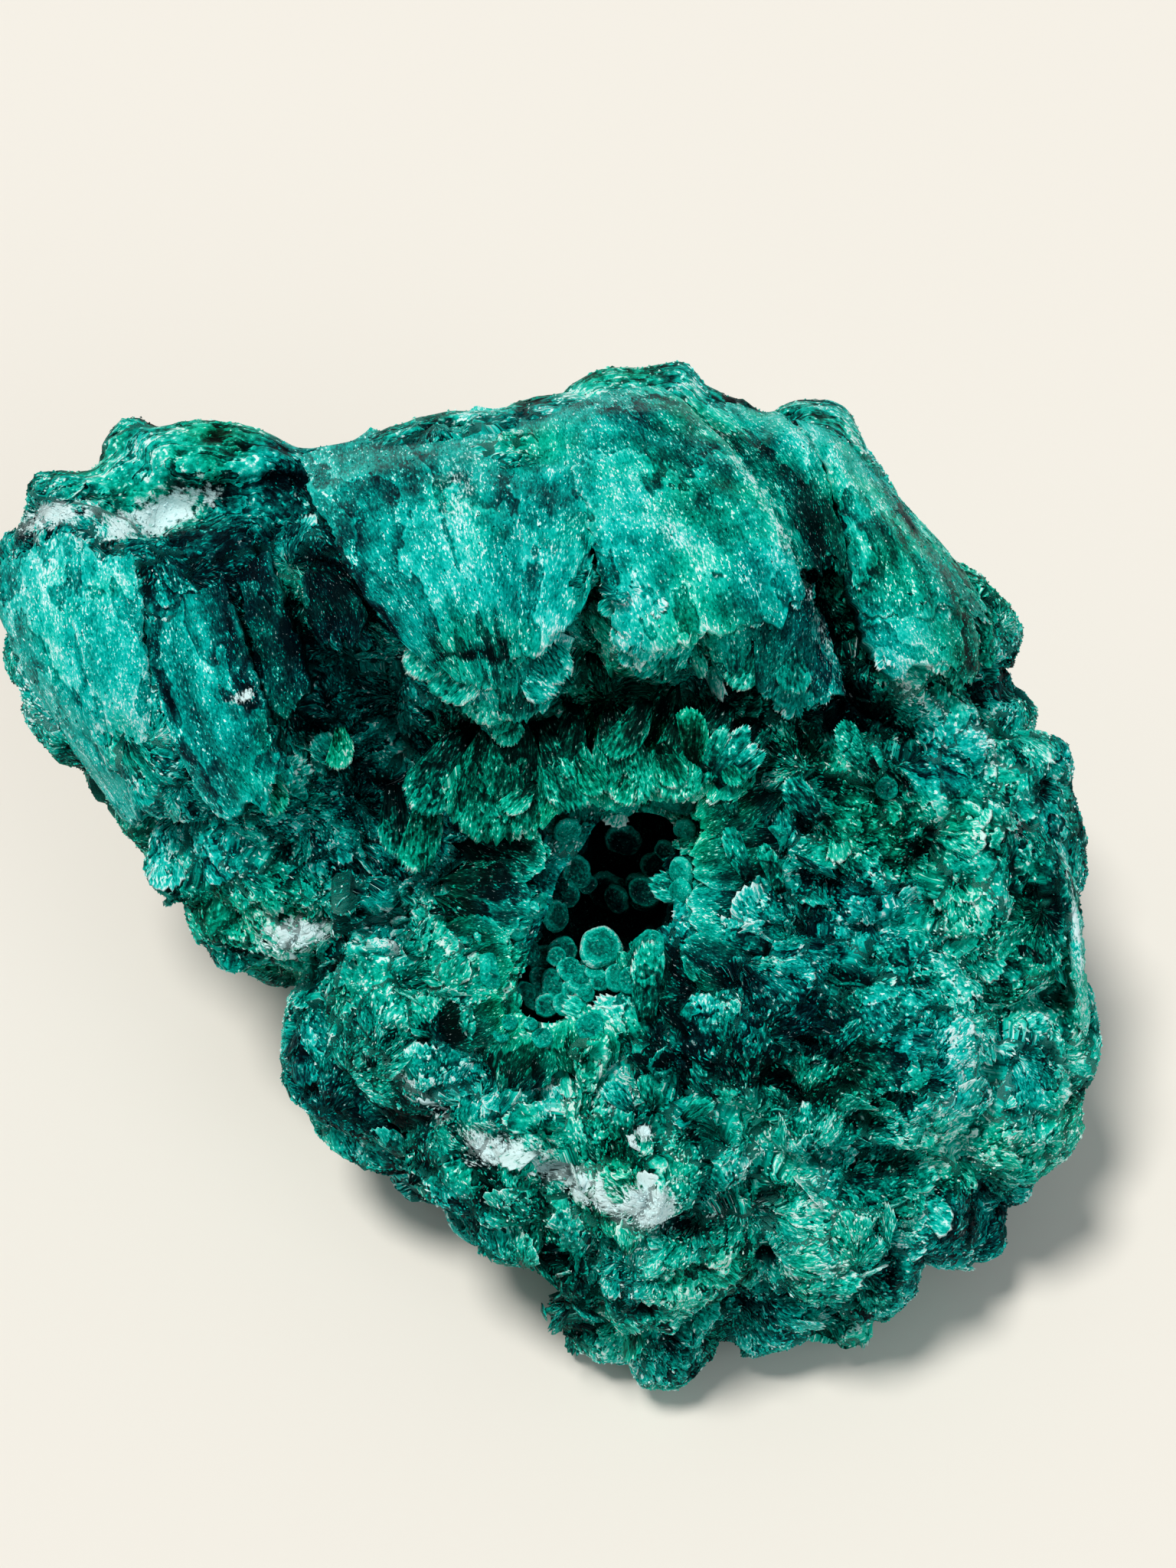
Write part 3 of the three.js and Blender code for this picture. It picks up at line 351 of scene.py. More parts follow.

# Pale, bleached patches, the same values; the long ones on the brow also whiten its painted sheen
bleachAndSheen = [
    (-30.6, -2.4, 2.3, 1.2, 10, 1), (-7.6, -22.6, 4, 0.9, -24, 0.8), (-1.4, -24.8, 3, 1, -30, 1),
    (3.2, -26.4, 1.5, 1.4, -30, 1.3), (0.4, -15.8, 0.9, 1, 0, 1), (2.8, -19.6, 0.5, 0.5, 0, 0.9),
    (-11.6, -21.6, 1.3, 0.8, -20, 0.8), (-43.6, 38, 3.4, 1.1, 22, 1.4), (-53.4, 37.8, 2.8, 0.9, 5, 1.1),
    (-34, 20, 0.8, 0.4, 20, 0.9), (35.2, 15, 3.2, 0.9, -45, 0.2), (0.2, 15.4, 0.8, 1.3, 0, 0.8),
    (-18, -17, 4, 0.8, -50, 0.3), (38, 8, 3, 0.8, -50, 0.2), (30, 8, 3, 0.5, -50, 0.25),
    # on the brow, (-5.4, 33), (-14, 38), (5.6, 34) and (14.4, 36) whiten its painted sheen
    (43.9, -1, 0.35, 6, 8, 0.5), (-5.4, 33, 1.4, 2.6, -30, 0.2), (-14, 38, 1.4, 6, -6, 0.25),
    (5.6, 34, 1, 3.4, 42, 0.3), (14.4, 36, 0.5, 9, 24, 0.35), (11.6, -27, 2.4, 2, 0, 0.2),
]

# Bluer (below zero) and more emerald (above) parts, the same values
hues = [
    (0, 14, 16, 6, 0, 0.35), (-8, -1, 8, 8, 0, 0.1), (-30, 38, 8, 4, 10, -0.5),
    (-22, 17, 7, 11, 15, -0.45), (-36, 22, 6, 8, 15, -0.2), (19, 30, 3, 9, 14, -0.4),
    (20, -6, 9, 6, 15, -0.35), (37, -31, 5, 5, 0, -0.4), (-24, -24, 10, 6, -40, -0.3),
    (36, 10, 8, 10, 0, -0.2), (14, -30, 8, 8, 0, 0.2), (-50, 24, 9, 12, 15, -0.45),
    (-12, 34, 8, 10, 0, -0.2), (26, 30, 5, 12, 20, 0.1), (-46, 43, 8, 4, 0, 0.25),
]

# Ways that the sprays open in a part of the face: x, y, half-sizes, turn, and heading in
# degrees from the right, anticlockwise
flows = [
    (36, 12, 8, 8, 0, -48), (44, -2, 3, 12, 0, -75), (36, -20, 8, 6, 0, 25),
    (20, -23, 4, 6, 0, 88), (12, -38, 12, 5, 0, -70), (30, -38, 6, 4, 0, -40),
    (-18, -20, 9, 9, 0, 128), (-4, -28, 8, 5, 0, 118), (2, -15, 4, 4, 0, 95),
    (22, 6, 8, 6, 0, -40), (12, 3, 4, 5, 0, 120), (-46, 43, 10, 4, 0, 15), (0, 50, 12, 4, 0, 80),
    (32, 34, 6, 8, 0, -50), (-40, 4, 6, 6, 0, -60), (-28, 4, 6, 8, 0, -20),
    (24, -10, 8, 5, 0, -20), (-28, -8, 5, 6, 0, -60),
]

# Painted highlights along edges and ridges (above zero) and painted shade in cracks (below): tone,
# half-width and points
paintedLightLines = [
    (0.28, 0.3, [(3, 52.4), (7.5, 47.4), (12.4, 41.9), (16, 36.6), (17.6, 31), (17.8, 27)]),
    (0.26, 0.32, [(9.6, 50), (15, 47.6), (20, 43.4), (21.8, 38.8), (22.2, 32)]),
    (0.32, 0.35, [(24.4, 48.6), (26, 44), (29, 40.4), (33, 35.4)]),
    (0.3, 0.3, [(24.6, 44.6), (27.4, 40), (31, 36)]),
    (0.26, 0.3, [(42.6, 9), (43.4, 3), (44.3, -4), (45.6, -12)]),
    (-0.34, 0.5, [(41.4, 5), (42.4, -3), (44, -12)]),
    (0.24, 0.3, [(30.2, 8.3), (33, 5), (35, 3.6)]),
    (0.22, 0.3, [(30, 14), (29.6, 9.4)]),
    (0.2, 0.3, [(20, 9.6), (22.4, 5.6), (24.6, 1.6)]),
    (-0.4, 0.4, [(19.4, 9), (21.8, 4.8), (24, 0.8)]),
    (-0.5, 0.4, [(-15.2, 18.6), (-15, 11), (-14.2, 4.6)]),
    (-0.5, 0.45, [(-28, 33.2), (-25.4, 31.8), (-22.4, 29.6), (-19.4, 25)]),
    (-0.5, 0.4, [(-29.6, 29.2), (-29, 25), (-27.6, 19.6)]),
    (-0.5, 0.5, [(5.4, -3.6), (6.4, -8), (6.2, -13)]),
    (-0.3, 0.4, [(-43.6, 33.6), (-42.4, 26), (-40.6, 18), (-39, 12)]),
    (-0.22, 0.5, [(-51.6, 34), (-50.6, 24), (-47.6, 13)]),
    (-0.3, 0.4, [(-37.2, 33), (-34.6, 26), (-33, 19)]),
    (-0.45, 0.35, [(-10.4, 27), (-9.9, 24.4), (-9.6, 22)]),
    (-0.5, 0.35, [(-16, 22.6), (-13.6, 23.6), (-10.6, 23.2)]),
    (-0.3, 0.3, [(24, 19), (28, 16.6), (33, 13.6)]),
    (-0.4, 0.4, [(-2.6, 34), (-1.4, 31), (-0.4, 27)]),
    (0.2, 0.3, [(27, 16.4), (30.4, 14.6), (33, 12.6)]),
    (0.22, 0.3, [(33, 17), (36.6, 13), (40.6, 7.6)]),
    (-0.3, 0.35, [(29.4, 12.6), (33.4, 7.6), (37, 3)]),
    (0.2, 0.3, [(36, 9), (39, 5), (41, 1)]),
    (-0.28, 0.3, [(37.6, 15.6), (40.8, 11.4), (43, 7)]),
]

# Smoother parts with few flakes and low relief: x, y, half-sizes, turn and amount
calmParts = [
    (0, 51, 10, 2.6, 0, 0.9), (21, 48.4, 6, 4, 0, 1), (-44, 44, 11, 4, 0, 1),
    (-22, 47, 12, 1.6, 11, 0.9), (-38, 37, 5, 4, 0, 0.6),
    (36, 9, 8, 6, -50, 0.6),
]

# One seeded source for all the random draws
rng = np.random.default_rng(20)


def mix(a, b, t):
    return a + (b - a) * t


# Eases from 0 to 1: t squared times three less two t
def smooth(t):
    s = np.clip(t, 0, 1)
    return s * s * (3 - 2 * s)


def unit(v):
    return v / np.maximum(np.linalg.norm(v, axis=-1, keepdims=True), 1e-9)


# A curve that leaves a, pulls towards b and ends on c: their quadratic blend
def pulled(a, b, c, t):
    return a * (1 - t) ** 2 + 2 * b * t * (1 - t) + c * t * t


# Height over the resting flat: up the face by its cosine, out of the face by its sine
def heightOver(p):
    return p[..., 1] * cosE + p[..., 2] * sinE + mouthAboveBase


# The face-frame point that stands at (x, y) on the resting flat
def onFlat(x, y):
    back = y + baseFromMouth[1]
    across = np.asarray(x + baseFromMouth[0], float)
    up = -mouthAboveBase
    return np.stack([across, back * sinE + up * cosE, up * sinE - back * cosE], -1)


# Face frame in millimetres to row frame in metres
def toRow(p):
    x = p[..., 0] - baseFromMouth[0]
    y = p[..., 1] * sinE - p[..., 2] * cosE - baseFromMouth[1]
    return np.stack([x, y, heightOver(p)], -1) / 1000


# Points at shares t of the way round a closed line of points, on Catmull-Rom spans
def roundLine(points, t):
    n = len(points)
    at = (t % 1) * n
    i = np.floor(at).astype(int)
    f = (at - i)[:, None]
    a, b, c, d = (points[(i + k) % n] for k in (-1, 0, 1, 2))
    fall = 2 * a - 5 * b + 4 * c - d
    turn = 3 * b - a - 3 * c + d
    return b + 0.5 * f * ((c - a) + f * (fall + f * turn))


# A closed line's reach from the middle of the mouth, sorted by direction
def reachTable(points):
    walk = roundLine(points, np.arange(1440) / 1440)
    off = walk[:, :2] - mouthMiddle
    angle = np.arctan2(off[:, 1], off[:, 0])
    order = np.argsort(angle)
    height = walk[order, 2] if walk.shape[1] > 2 else np.zeros(len(walk))
    return angle[order], np.hypot(off[:, 0], off[:, 1])[order], height


rimAngles, rimReach, rimHeights = reachTable(rim)
mouthAngles, mouthReach, _ = reachTable(mouth)


def around(angle, angles, values):
    return np.interp(angle, angles, values, period=2 * np.pi)


# Share of the way from the mouth to the rim, and the rim's height in that direction
def acrossFace(x, y):
    dx = x - mouthMiddle[0]
    dy = y - mouthMiddle[1]
    angle = np.arctan2(dy, dx)
    edge = around(angle, rimAngles, rimReach)
    lip = around(angle, mouthAngles, mouthReach)
    share = np.clip((np.hypot(dx, dy) - lip) / (edge - lip), 0, 1)
    return share, around(angle, rimAngles, rimHeights)


# Sum of round swells: each lifts by a bell curve of its two half-sizes
def lifted(swellList, x, y):
    total = np.zeros(np.shape(x))
    for atX, atY, sizeX, sizeY, turn, lift in swellList:
        c = np.cos(np.radians(turn))
        s = np.sin(np.radians(turn))
        along = ((x - atX) * c + (y - atY) * s) / sizeX
        across = ((y - atY) * c - (x - atX) * s) / sizeY
        total = total + lift * np.exp(-(along ** 2 + across ** 2) / 2)
    return total


def rimFade(t):
    return 1 - smooth((t - fadeFrom) / (1 - fadeFrom))


# Height of the face with its swells: a dome that rolls over at the rim
def browHeight(x, y):
    t, edgeZ = acrossFace(x, y)
    dome = domeHeight * (1 - t ** 3.4) ** 0.6
    return mix(lipHeight, edgeZ, smooth(t)) + dome + lifted(swells, x, y) * rimFade(t)


def faceHeight(x, y):
    t, _ = acrossFace(x, y)
    return browHeight(x, y) + lifted(hollows, x, y) * rimFade(t)


# Rim points and the lip points in the same direction from the middle of the mouth
def spokesAt(turns, inset=0):
    edge = roundLine(rim, turns)
    off = edge[:, :2] - mouthMiddle
    angle = np.arctan2(off[:, 1], off[:, 0])
    reach = around(angle, mouthAngles, mouthReach) - inset
    lip = mouthMiddle + np.stack([np.cos(angle), np.sin(angle)], 1) * reach[:, None]
    return edge, lip


# The outside of the mass: s from 0 at the lip to 1 at the rim, and on to 2 at the flat
def outside(edge, lip, s):
    s = np.broadcast_to(np.asarray(s, float), edge.shape[:-1])
    t = 1 - (1 - np.clip(s, 0, 1)) ** 1.35
    x = mix(lip[..., 0], edge[..., 0], t)
    y = mix(lip[..., 1], edge[..., 1], t)
    top = np.stack([x, y, faceHeight(x, y)], -1)
    depth = np.minimum(flankDepth, np.maximum(0, heightOver(edge) - 2) / sinE)
    pull = edge * [flankTaper, flankTaper, 1]
    pull[..., 2] -= depth
    standX = edge[..., 0] - baseFromMouth[0]
    standY = edge[..., 1] * sinE - edge[..., 2] * cosE - baseFromMouth[1]
    reach = baseReach * (np.hypot(standX, standY) / rimReachTypical) ** 0.6
    angle = np.arctan2(standY, standX)
    foot = onFlat(reach * np.cos(angle), reach * np.sin(angle))
    side = pulled(edge, pull, foot, np.clip(s - 1, 0, 1)[..., None])
    return np.where((s < 1)[..., None], top, side)


# The vug's wall: b from 0 at the lip to 1 at its bottom, on a flared cap
def vugWall(lip, b, inset):
    turn = vugFlare * (1 - b)
    wide = np.sin(turn) / np.sin(vugFlare)
    deep = (np.cos(turn) - np.cos(vugFlare)) / (1 - np.cos(vugFlare))
    flat = mix(mouthMiddle, lip, wide)
    z = faceHeight(lip[..., 0], lip[..., 1]) - (vugDepth - inset) * deep
    return np.concatenate([flat, z[..., None]], -1)


# Distances from each point to its nearest and next centre, and which is nearest
def nearestTwo(points, centres):
    flat = points.reshape(-1, 3)
    near = np.empty(len(flat))
    following = np.empty(len(flat))
    which = np.empty(len(flat), int)
    for start in range(0, len(flat), 8192):
        part = flat[start:start + 8192]
        square = (part ** 2).sum(1)[:, None] - 2 * part @ centres.T + (centres ** 2).sum(1)
        two = np.argpartition(square, 1, axis=1)[:, :2]
        values = np.sqrt(np.maximum(np.take_along_axis(square, two, 1), 0))
        first = np.argmin(values, 1)
        rows = np.arange(len(part))
        which[start:start + len(part)] = two[rows, first]
        near[start:start + len(part)] = values[rows, first]
        following[start:start + len(part)] = values[rows, 1 - first]
    shape = points.shape[:-1]
    return near.reshape(shape), following.reshape(shape), which.reshape(shape)


# Smooth noise from -1 to 1 at points scaled to one lump per unit: random corner values
# of a unit lattice, blended with eased weights
latticeSide = 64
lattice = rng.uniform(-1, 1, latticeSide ** 3)


def noise(p):
    cell = np.floor(p).astype(int)
    f = p - cell
    f = f * f * (3 - 2 * f)
    total = np.zeros(p.shape[:-1])
    for dx in (0, 1):
        for dy in (0, 1):
            for dz in (0, 1):
                c = (cell + [dx, dy, dz]) % latticeSide
                value = lattice[(c[..., 0] * latticeSide + c[..., 1]) * latticeSide + c[..., 2]]
                weight = (f[..., 0] if dx else 1 - f[..., 0]) * (f[..., 1] if dy else 1 - f[..., 1])
                total += value * weight * (f[..., 2] if dz else 1 - f[..., 2])
    return total


# Sum of noises on top of a start value: each at its own scale, shift and amount
def noiseSum(p, layers, start=0):
    return sum((noise(p * scale + shift) * amount for scale, shift, amount in layers), start)


# A shift of each point by a noise of its own on each axis
def shifted(p, perMm, firstSeed, amount):
    seeds = range(firstSeed, firstSeed + 3)
    return np.stack([noise(p * perMm + 3 * k) for k in seeds], -1) * amount


# Unit vectors in the plane of the face, at angles from the right
def inFace(angle):
    return np.stack([np.cos(angle), np.sin(angle), 0 * angle], 1)


# Keeps candidates that are at least a gap apart, in the order they come
def spacedOut(candidates, gap):
    kept = np.empty((len(candidates), 3))
    order = []
    for k, p in enumerate(candidates):
        if not order or np.min(((kept[:len(order)] - p) ** 2).sum(1)) > gap ** 2:
            kept[len(order)] = p
            order.append(k)
    return np.array(order)


# Triangles between the closed rings of a grid, ring after ring. A looped grid joins its
# last ring to its first; any other is capped by two hub points that follow the grid's.
def ringFaces(rings, count, looped=False):
    ringAt = np.arange(rings if looped else rings - 1)[:, None] * count
    nextRing = (ringAt + count) % (rings * count)
    step = np.arange(count)[None]
    nextStep = (step + 1) % count
    quads = np.stack([ringAt + step, nextRing + step, nextRing + nextStep, ringAt + nextStep], -1)
    quads = quads.reshape(-1, 4)
    sides = [quads[:, [0, 1, 2]], quads[:, [0, 2, 3]]]
    if looped:
        return np.concatenate(sides)
    hub = rings * count
    first = np.arange(count)
    last = hub - count + first
    capTop = np.stack([np.full(count, hub), first, np.roll(first, -1)], 1)
    capLow = np.stack([np.full(count, hub + 1), np.roll(last, -1), last], 1)
    return np.concatenate([*sides, capTop, capLow])


# Triangles of an open grid of points, and the points round its edge in order
def gridFaces(along, across):
    index = np.arange(along * across).reshape(along, across)
    a, b = index[:-1, :-1].ravel(), index[1:, :-1].ravel()
    c, d = index[1:, 1:].ravel(), index[:-1, 1:].ravel()
    faces = np.concatenate([np.stack([a, b, c], 1), np.stack([a, c, d], 1)])
    loop = np.concatenate([index[0, :-1], index[:-1, -1], index[-1, :0:-1], index[:0:-1, 0]])
    return faces, loop


# Normals of a grid of points: the cross product of its two steps
def gridNormals(grid, closed):
    down = np.gradient(grid, axis=0)
    if closed:
        sideways = (np.roll(grid, -1, 1) - np.roll(grid, 1, 1)) / 2
    else:
        sideways = np.gradient(grid, axis=1)
    return unit(np.cross(down, sideways))


# A mesh object from points in millimetres, faces of three or four corners, and values
# at its points by name
def makePiece(name, points, faces, values, smoothShaded=True):
    mesh = bpy.data.meshes.new(name)
    sides = faces.shape[1]
    mesh.vertices.add(len(points))
    mesh.vertices.foreach_set("co", toRow(points).astype(np.float32).ravel())
    mesh.loops.add(faces.size)
    mesh.loops.foreach_set("vertex_index", faces.astype(np.int32).ravel())
    mesh.polygons.add(len(faces))
    mesh.polygons.foreach_set("loop_start", np.arange(0, faces.size, sides, dtype=np.int32))
    mesh.polygons.foreach_set("use_smooth", np.full(len(faces), smoothShaded))
    for key, value in values.items():
        kind = "FLOAT" if value.ndim == 1 else "FLOAT_VECTOR"
        field = "value" if value.ndim == 1 else "vector"
        made = mesh.attributes.new(key, kind, "POINT")
        made.data.foreach_set(field, value.astype(np.float32).ravel())
    mesh.update(calc_edges=True)
    mesh.validate()
    piece = bpy.data.objects.new(name, mesh)
    bpy.context.scene.collection.objects.link(piece)
    return piece


def place(piece, material, slotName, node):
    piece.data.materials.append(material)
    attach(piece, "root")
    if node:
        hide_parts(node)
    return piece


# sRGB hex to linear colour
def linear(hexColour, alpha=1.0):
    parts = [int(hexColour[k:k + 2], 16) / 255 for k in (1, 3, 5)]
    return [c / 12.92 if c <= 0.04045 else ((c + 0.055) / 1.055) ** 2.4 for c in parts] + [alpha]


# Adds one shader node with its settings, its input values and its links
def addNode(tree, kind, inputs=None, links=None, **settings):
    node = tree.nodes.new(kind)
    for key, value in settings.items():
        setattr(node, key, value)
    for key, value in (inputs or {}).items():
        node.inputs[key].default_value = value
    for key, socket in (links or {}).items():
        tree.links.new(socket, node.inputs[key])
    return node


# A sum or product of numbers and sockets
def addMath(tree, operation, *terms, **settings):
    values = {k: term for k, term in enumerate(terms) if isinstance(term, (int, float))}
    links = {k: term for k, term in enumerate(terms) if k not in values}
    node = addNode(tree, "ShaderNodeMath", values, links, operation=operation, **settings)
    return node.outputs[0]


# A place times or plus a constant
def addPlace(tree, operation, place, constant):
    node = addNode(tree, "ShaderNodeVectorMath", {1: constant}, {0: place}, operation=operation)
    return node.outputs[0]


# Noise from 0 to 1 at a place
def addNoise(tree, place, detail, roughness=0.5, scale=1.0):
    inputs = {"Scale": scale, "Detail": detail, "Roughness": roughness}
    return addNode(tree, "ShaderNodeTexNoise", inputs, {"Vector": place}).outputs["Fac"]


# Takes one range of a value to another, and holds it at the ends
def addRange(tree, value, fromMin, fromMax, toMin, toMax):
    inputs = {"From Min": fromMin, "From Max": fromMax, "To Min": toMin, "To Max": toMax}
    return addNode(tree, "ShaderNodeMapRange", inputs, {"Value": value}).outputs[0]


# A ramp of colours over a value; its first two stops are its ends
def addRamp(tree, value, stops):
    ramp = addNode(tree, "ShaderNodeValToRGB", None, {"Fac": value})
    elements = ramp.color_ramp.elements
    for k, (position, colour) in enumerate(stops):
        element = elements[k] if k < 2 else elements.new(position)
        element.position = position
        element.color = colour
    return ramp.outputs["Color"]


# Greens by tone, one ramp that leans to blue and one to emerald, and the greys of a thin sheet's edge: a
# painted shadow under it and a painted highlight on it
blueStops = [(0.0, "#010b12"), (1.0, "#d2f4f4"), (0.2, "#02262d"), (0.36, "#024f4f"),
             (0.5, "#00807a"), (0.63, "#00a69d"), (0.76, "#10c2b8"), (0.88, "#5cd4cf")]
emeraldStops = [(0.0, "#000a05"), (1.0, "#d2f6ea"), (0.2, "#002618"), (0.36, "#00533a"),
                (0.5, "#008462"), (0.63, "#00a882"), (0.76, "#10c49e"), (0.88, "#5cdabc")]
sheetStops = [(0.0, 0.5), (1.0, 0.5), (0.42, 0.5), (0.488, 0.05), (0.5, 0.95), (0.53, 0.66),
              (0.6, 0.5)]

# What all the malachite shares: its broad pattern against the fine one, how few and how clustered the
# painted glints are, the length and step of thin sheets, how sharply bleached patches end, and the gloss
weave = dict(broad=0.2, broadContrast=0.6, glintShift=(17.3, 5.1, 9.7), glintScale=1.3,
             glintRange=(0.6, 0.68), clusterRange=(0.38, 0.6), clusterLeast=0.1, sheetLong=0.6,
             stepRange=(0.49, 0.505), stepHeight=0.6, paleGain=3.0, paleGrain=6.0,
             paleLevel=-3.9, paleColour="#d3f0f2", bump=0.8, index=1.65, gloss=0.02,
             glossTint="#7fe8d2")


# Silky malachite: its fibres look dark green end on and mint along their length, and that sheen is
# painted into its tone, with painted glints in scattered clusters. Its greens run from blue-green to
# emerald by hue, and from dark to light by tone; bleached patches are pale blue-green. grain is the width
# of one fibre bundle in mm and streak how many times longer it is than wide. Thin sheets overlap every
# few sheet mm, with a painted highlight on the edge and a painted shadow under it.
def malachiteMaterial(name, grain, streak, roughness, bumpHeight, contrast, glints, sheet,
                      edgeStrength):
    material = bpy.data.materials.new(name)
    material.use_nodes = True
    tree = material.node_tree
    tree.nodes.clear()
    tone, pale, hue = (addNode(tree, "ShaderNodeAttribute", attribute_name=key).outputs["Fac"]
                       for key in ("tone", "pale", "hue"))
    if streak:
        where = addNode(tree, "ShaderNodeAttribute", attribute_name="fibre").outputs["Vector"]
        scale = (1 / grain, 1 / (grain * streak), 1)
        sheetScale = (1 / sheet, weave["sheetLong"] / sheet, 1)
    else:
        where = addNode(tree, "ShaderNodeTexCoord").outputs["Object"]
        scale = (1000 / grain,) * 3
        sheetScale = (1000 / sheet,) * 3
    grainAt = addPlace(tree, "MULTIPLY", where, scale)
    broadAt = addPlace(tree, "MULTIPLY", where, tuple(v * weave["broad"] for v in scale))
    sheetAt = addPlace(tree, "MULTIPLY", where, sheetScale)
    glintAt = addPlace(tree, "ADD", grainAt, weave["glintShift"])
    fine = addNoise(tree, grainAt, 3.0, 0.62)
    broad = addNoise(tree, broadAt, 2.0)
    sheets = addNoise(tree, sheetAt, 4.0, 0.55)
    # painted glints: bright specks of noise added to the tone, more of them where the broad noise is high
    glintNoise = addNoise(tree, glintAt, 1.0, scale=weave["glintScale"])
    few = addRange(tree, glintNoise, *weave["glintRange"], 0.0, glints)
    cluster = addRange(tree, broad, *weave["clusterRange"], weave["clusterLeast"], 1.0)
    glint = addMath(tree, "MULTIPLY", few, cluster)
    # a painted highlight on each thin sheet's edge and a painted shadow under it
    sheetEdge = addRamp(tree, sheets, [(at, (grey, grey, grey, 1)) for at, grey in sheetStops])
    edgeShift = addMath(tree, "MULTIPLY_ADD", sheetEdge, 2 * edgeStrength, -edgeStrength)
    broadContrast = contrast * weave["broadContrast"]
    fineShift = addMath(tree, "MULTIPLY_ADD", fine, contrast, -contrast / 2)
    broadShift = addMath(tree, "MULTIPLY_ADD", broad, broadContrast, -broadContrast / 2)
    total = addMath(tree, "ADD", fineShift, broadShift)
    for part in (glint, edgeShift, tone):
        total = addMath(tree, "ADD", part, total)
    blue, emerald = (addRamp(tree, total, [(at, linear(colour)) for at, colour in stops])
                     for stops in (blueStops, emeraldStops))
    green = addNode(tree, "ShaderNodeMix", None, {"Factor": hue, "A": blue, "B": emerald},
                    data_type="RGBA")
    paleEdge = addMath(tree, "MULTIPLY_ADD", fine, weave["paleGrain"], weave["paleLevel"])
    paleShare = addMath(tree, "MULTIPLY_ADD", pale, weave["paleGain"], paleEdge, use_clamp=True)
    colour = addNode(tree, "ShaderNodeMix", {"B": linear(weave["paleColour"])},
                     {"Factor": paleShare, "A": green.outputs["Result"]}, data_type="RGBA")
    sheetStep = addRange(tree, sheets, *weave["stepRange"], 0.0, weave["stepHeight"])
    bump = addNode(tree, "ShaderNodeBump",
                   {"Strength": weave["bump"], "Distance": bumpHeight / 1000},
                   {"Height": addMath(tree, "ADD", fine, sheetStep)})
    surface = addNode(tree, "ShaderNodeBsdfPrincipled",
                      {"Roughness": roughness, "IOR": weave["index"],
                       "Specular IOR Level": weave["gloss"],
                       "Specular Tint": linear(weave["glossTint"])},
                      {"Normal": bump.outputs["Normal"]})
    tree.links.new(colour.outputs["Result"], surface.inputs["Base Color"])
    addNode(tree, "ShaderNodeOutputMaterial", None, {"Surface": surface.outputs[0]})
    return material


# The silk of the fans is fine and even; the sprayed skin is coarser, rougher and more
# contrasted; needles are smooth and glossier; fronds are streaked; plates are plain
silk = malachiteMaterial("silky_malachite", 0.24, 2.2, 0.45, 0.1, 0.9, 0.5, 8, 0.2)
sprayed = malachiteMaterial("sprayed_malachite", 0.3, 2.2, 0.5, 0.3, 1.25, 0.5, 3, 0.34)
flakeSilk = malachiteMaterial("malachite_needles", 1.2, 0, 0.34, 0.03, 0.7, 0.2, 6, 0)
frondSilk = malachiteMaterial("fibrous_malachite", 0.22, 2.8, 0.42, 0.12, 1.3, 0.4, 3, 0.2)
plateSilk = malachiteMaterial("malachite_plates", 0.26, 0, 0.4, 0.1, 0.7, 0.25, 3, 0.1)

# Noises of the face by scale, shift and amount: mottling, hue and the edges of bleached
# patches; where the face ends towards the back; and where light tones are held back
mottling = [(0.16, 0, 0.16), (0.5, 5, 0.16), (1.1, 11, 0.1)]
hueNoise = [(0.13, 31, 0.5), (0.5, 7, 0.25)]
hueMiddle = 0.36
paleNoise = [(0.55, 13, 0.7), (1.5, 17, 0.5)]
backFrom = -14
backFade = 8
toneKnee = 0.6
toneRoom = 0.18


# Painted light and shade along the lines: a bell curve of the distance to the nearest of their spans
def paintedLineLight(p):
    total = np.zeros(p.shape[:-1])
    flat = p[..., :2] + np.stack([noise(p * 0.6 + 41), noise(p * 0.6 + 47)], -1) * 1.1
    for amount, halfWidth, points in paintedLightLines:
        nearest = np.full(p.shape[:-1], np.inf)
        for a, b in zip(np.array(points[:-1], float), np.array(points[1:], float)):
            way = b - a
            along = np.clip(((flat - a) @ way) / (way @ way), 0, 1)
            off = flat - a - along[..., None] * way
            nearest = np.minimum(nearest, (off ** 2).sum(-1))
        total = total + amount * np.exp(-nearest / halfWidth ** 2)
    return total


# 1 on the face, and 0 behind it
def frontShare(p):
    return smooth((p[..., 2] - backFrom) / backFade)


# Tone and paleness of a place on the face, from the lists above; the tone carries their painted shade and
# highlights
def faceTone(p):
    return (lifted(paintedLightAndTone, p[..., 0], p[..., 1]) + paintedLineLight(p)) * frontShare(p)


def facePale(p):
    patchy = noiseSum(p, paleNoise, 1)
    return np.clip(lifted(bleachAndSheen, p[..., 0], p[..., 1]) * patchy, 0, 1) * frontShare(p)


# How far a place belongs to the calm parts
def calmAt(p):
    return np.clip(lifted(calmParts, p[..., 0], p[..., 1]), 0, 0.9)


# 0 for blue-green and 1 for emerald: wide noise, leaning to the parts that the list names
def faceHue(p):
    wide = noiseSum(p, hueNoise, hueMiddle)
    return np.clip(wide + lifted(hues, p[..., 0], p[..., 1]), 0, 1)


# Light tones over the knee ease towards the knee plus the room
def heldBack(tone):
    return np.where(tone > toneKnee, toneKnee + toneRoom * np.tanh((tone - toneKnee) / toneRoom), tone)


# Lighter and darker mottling, 6 mm, 2 mm and 1 mm across
def mottle(p):
    return noiseSum(p, mottling)


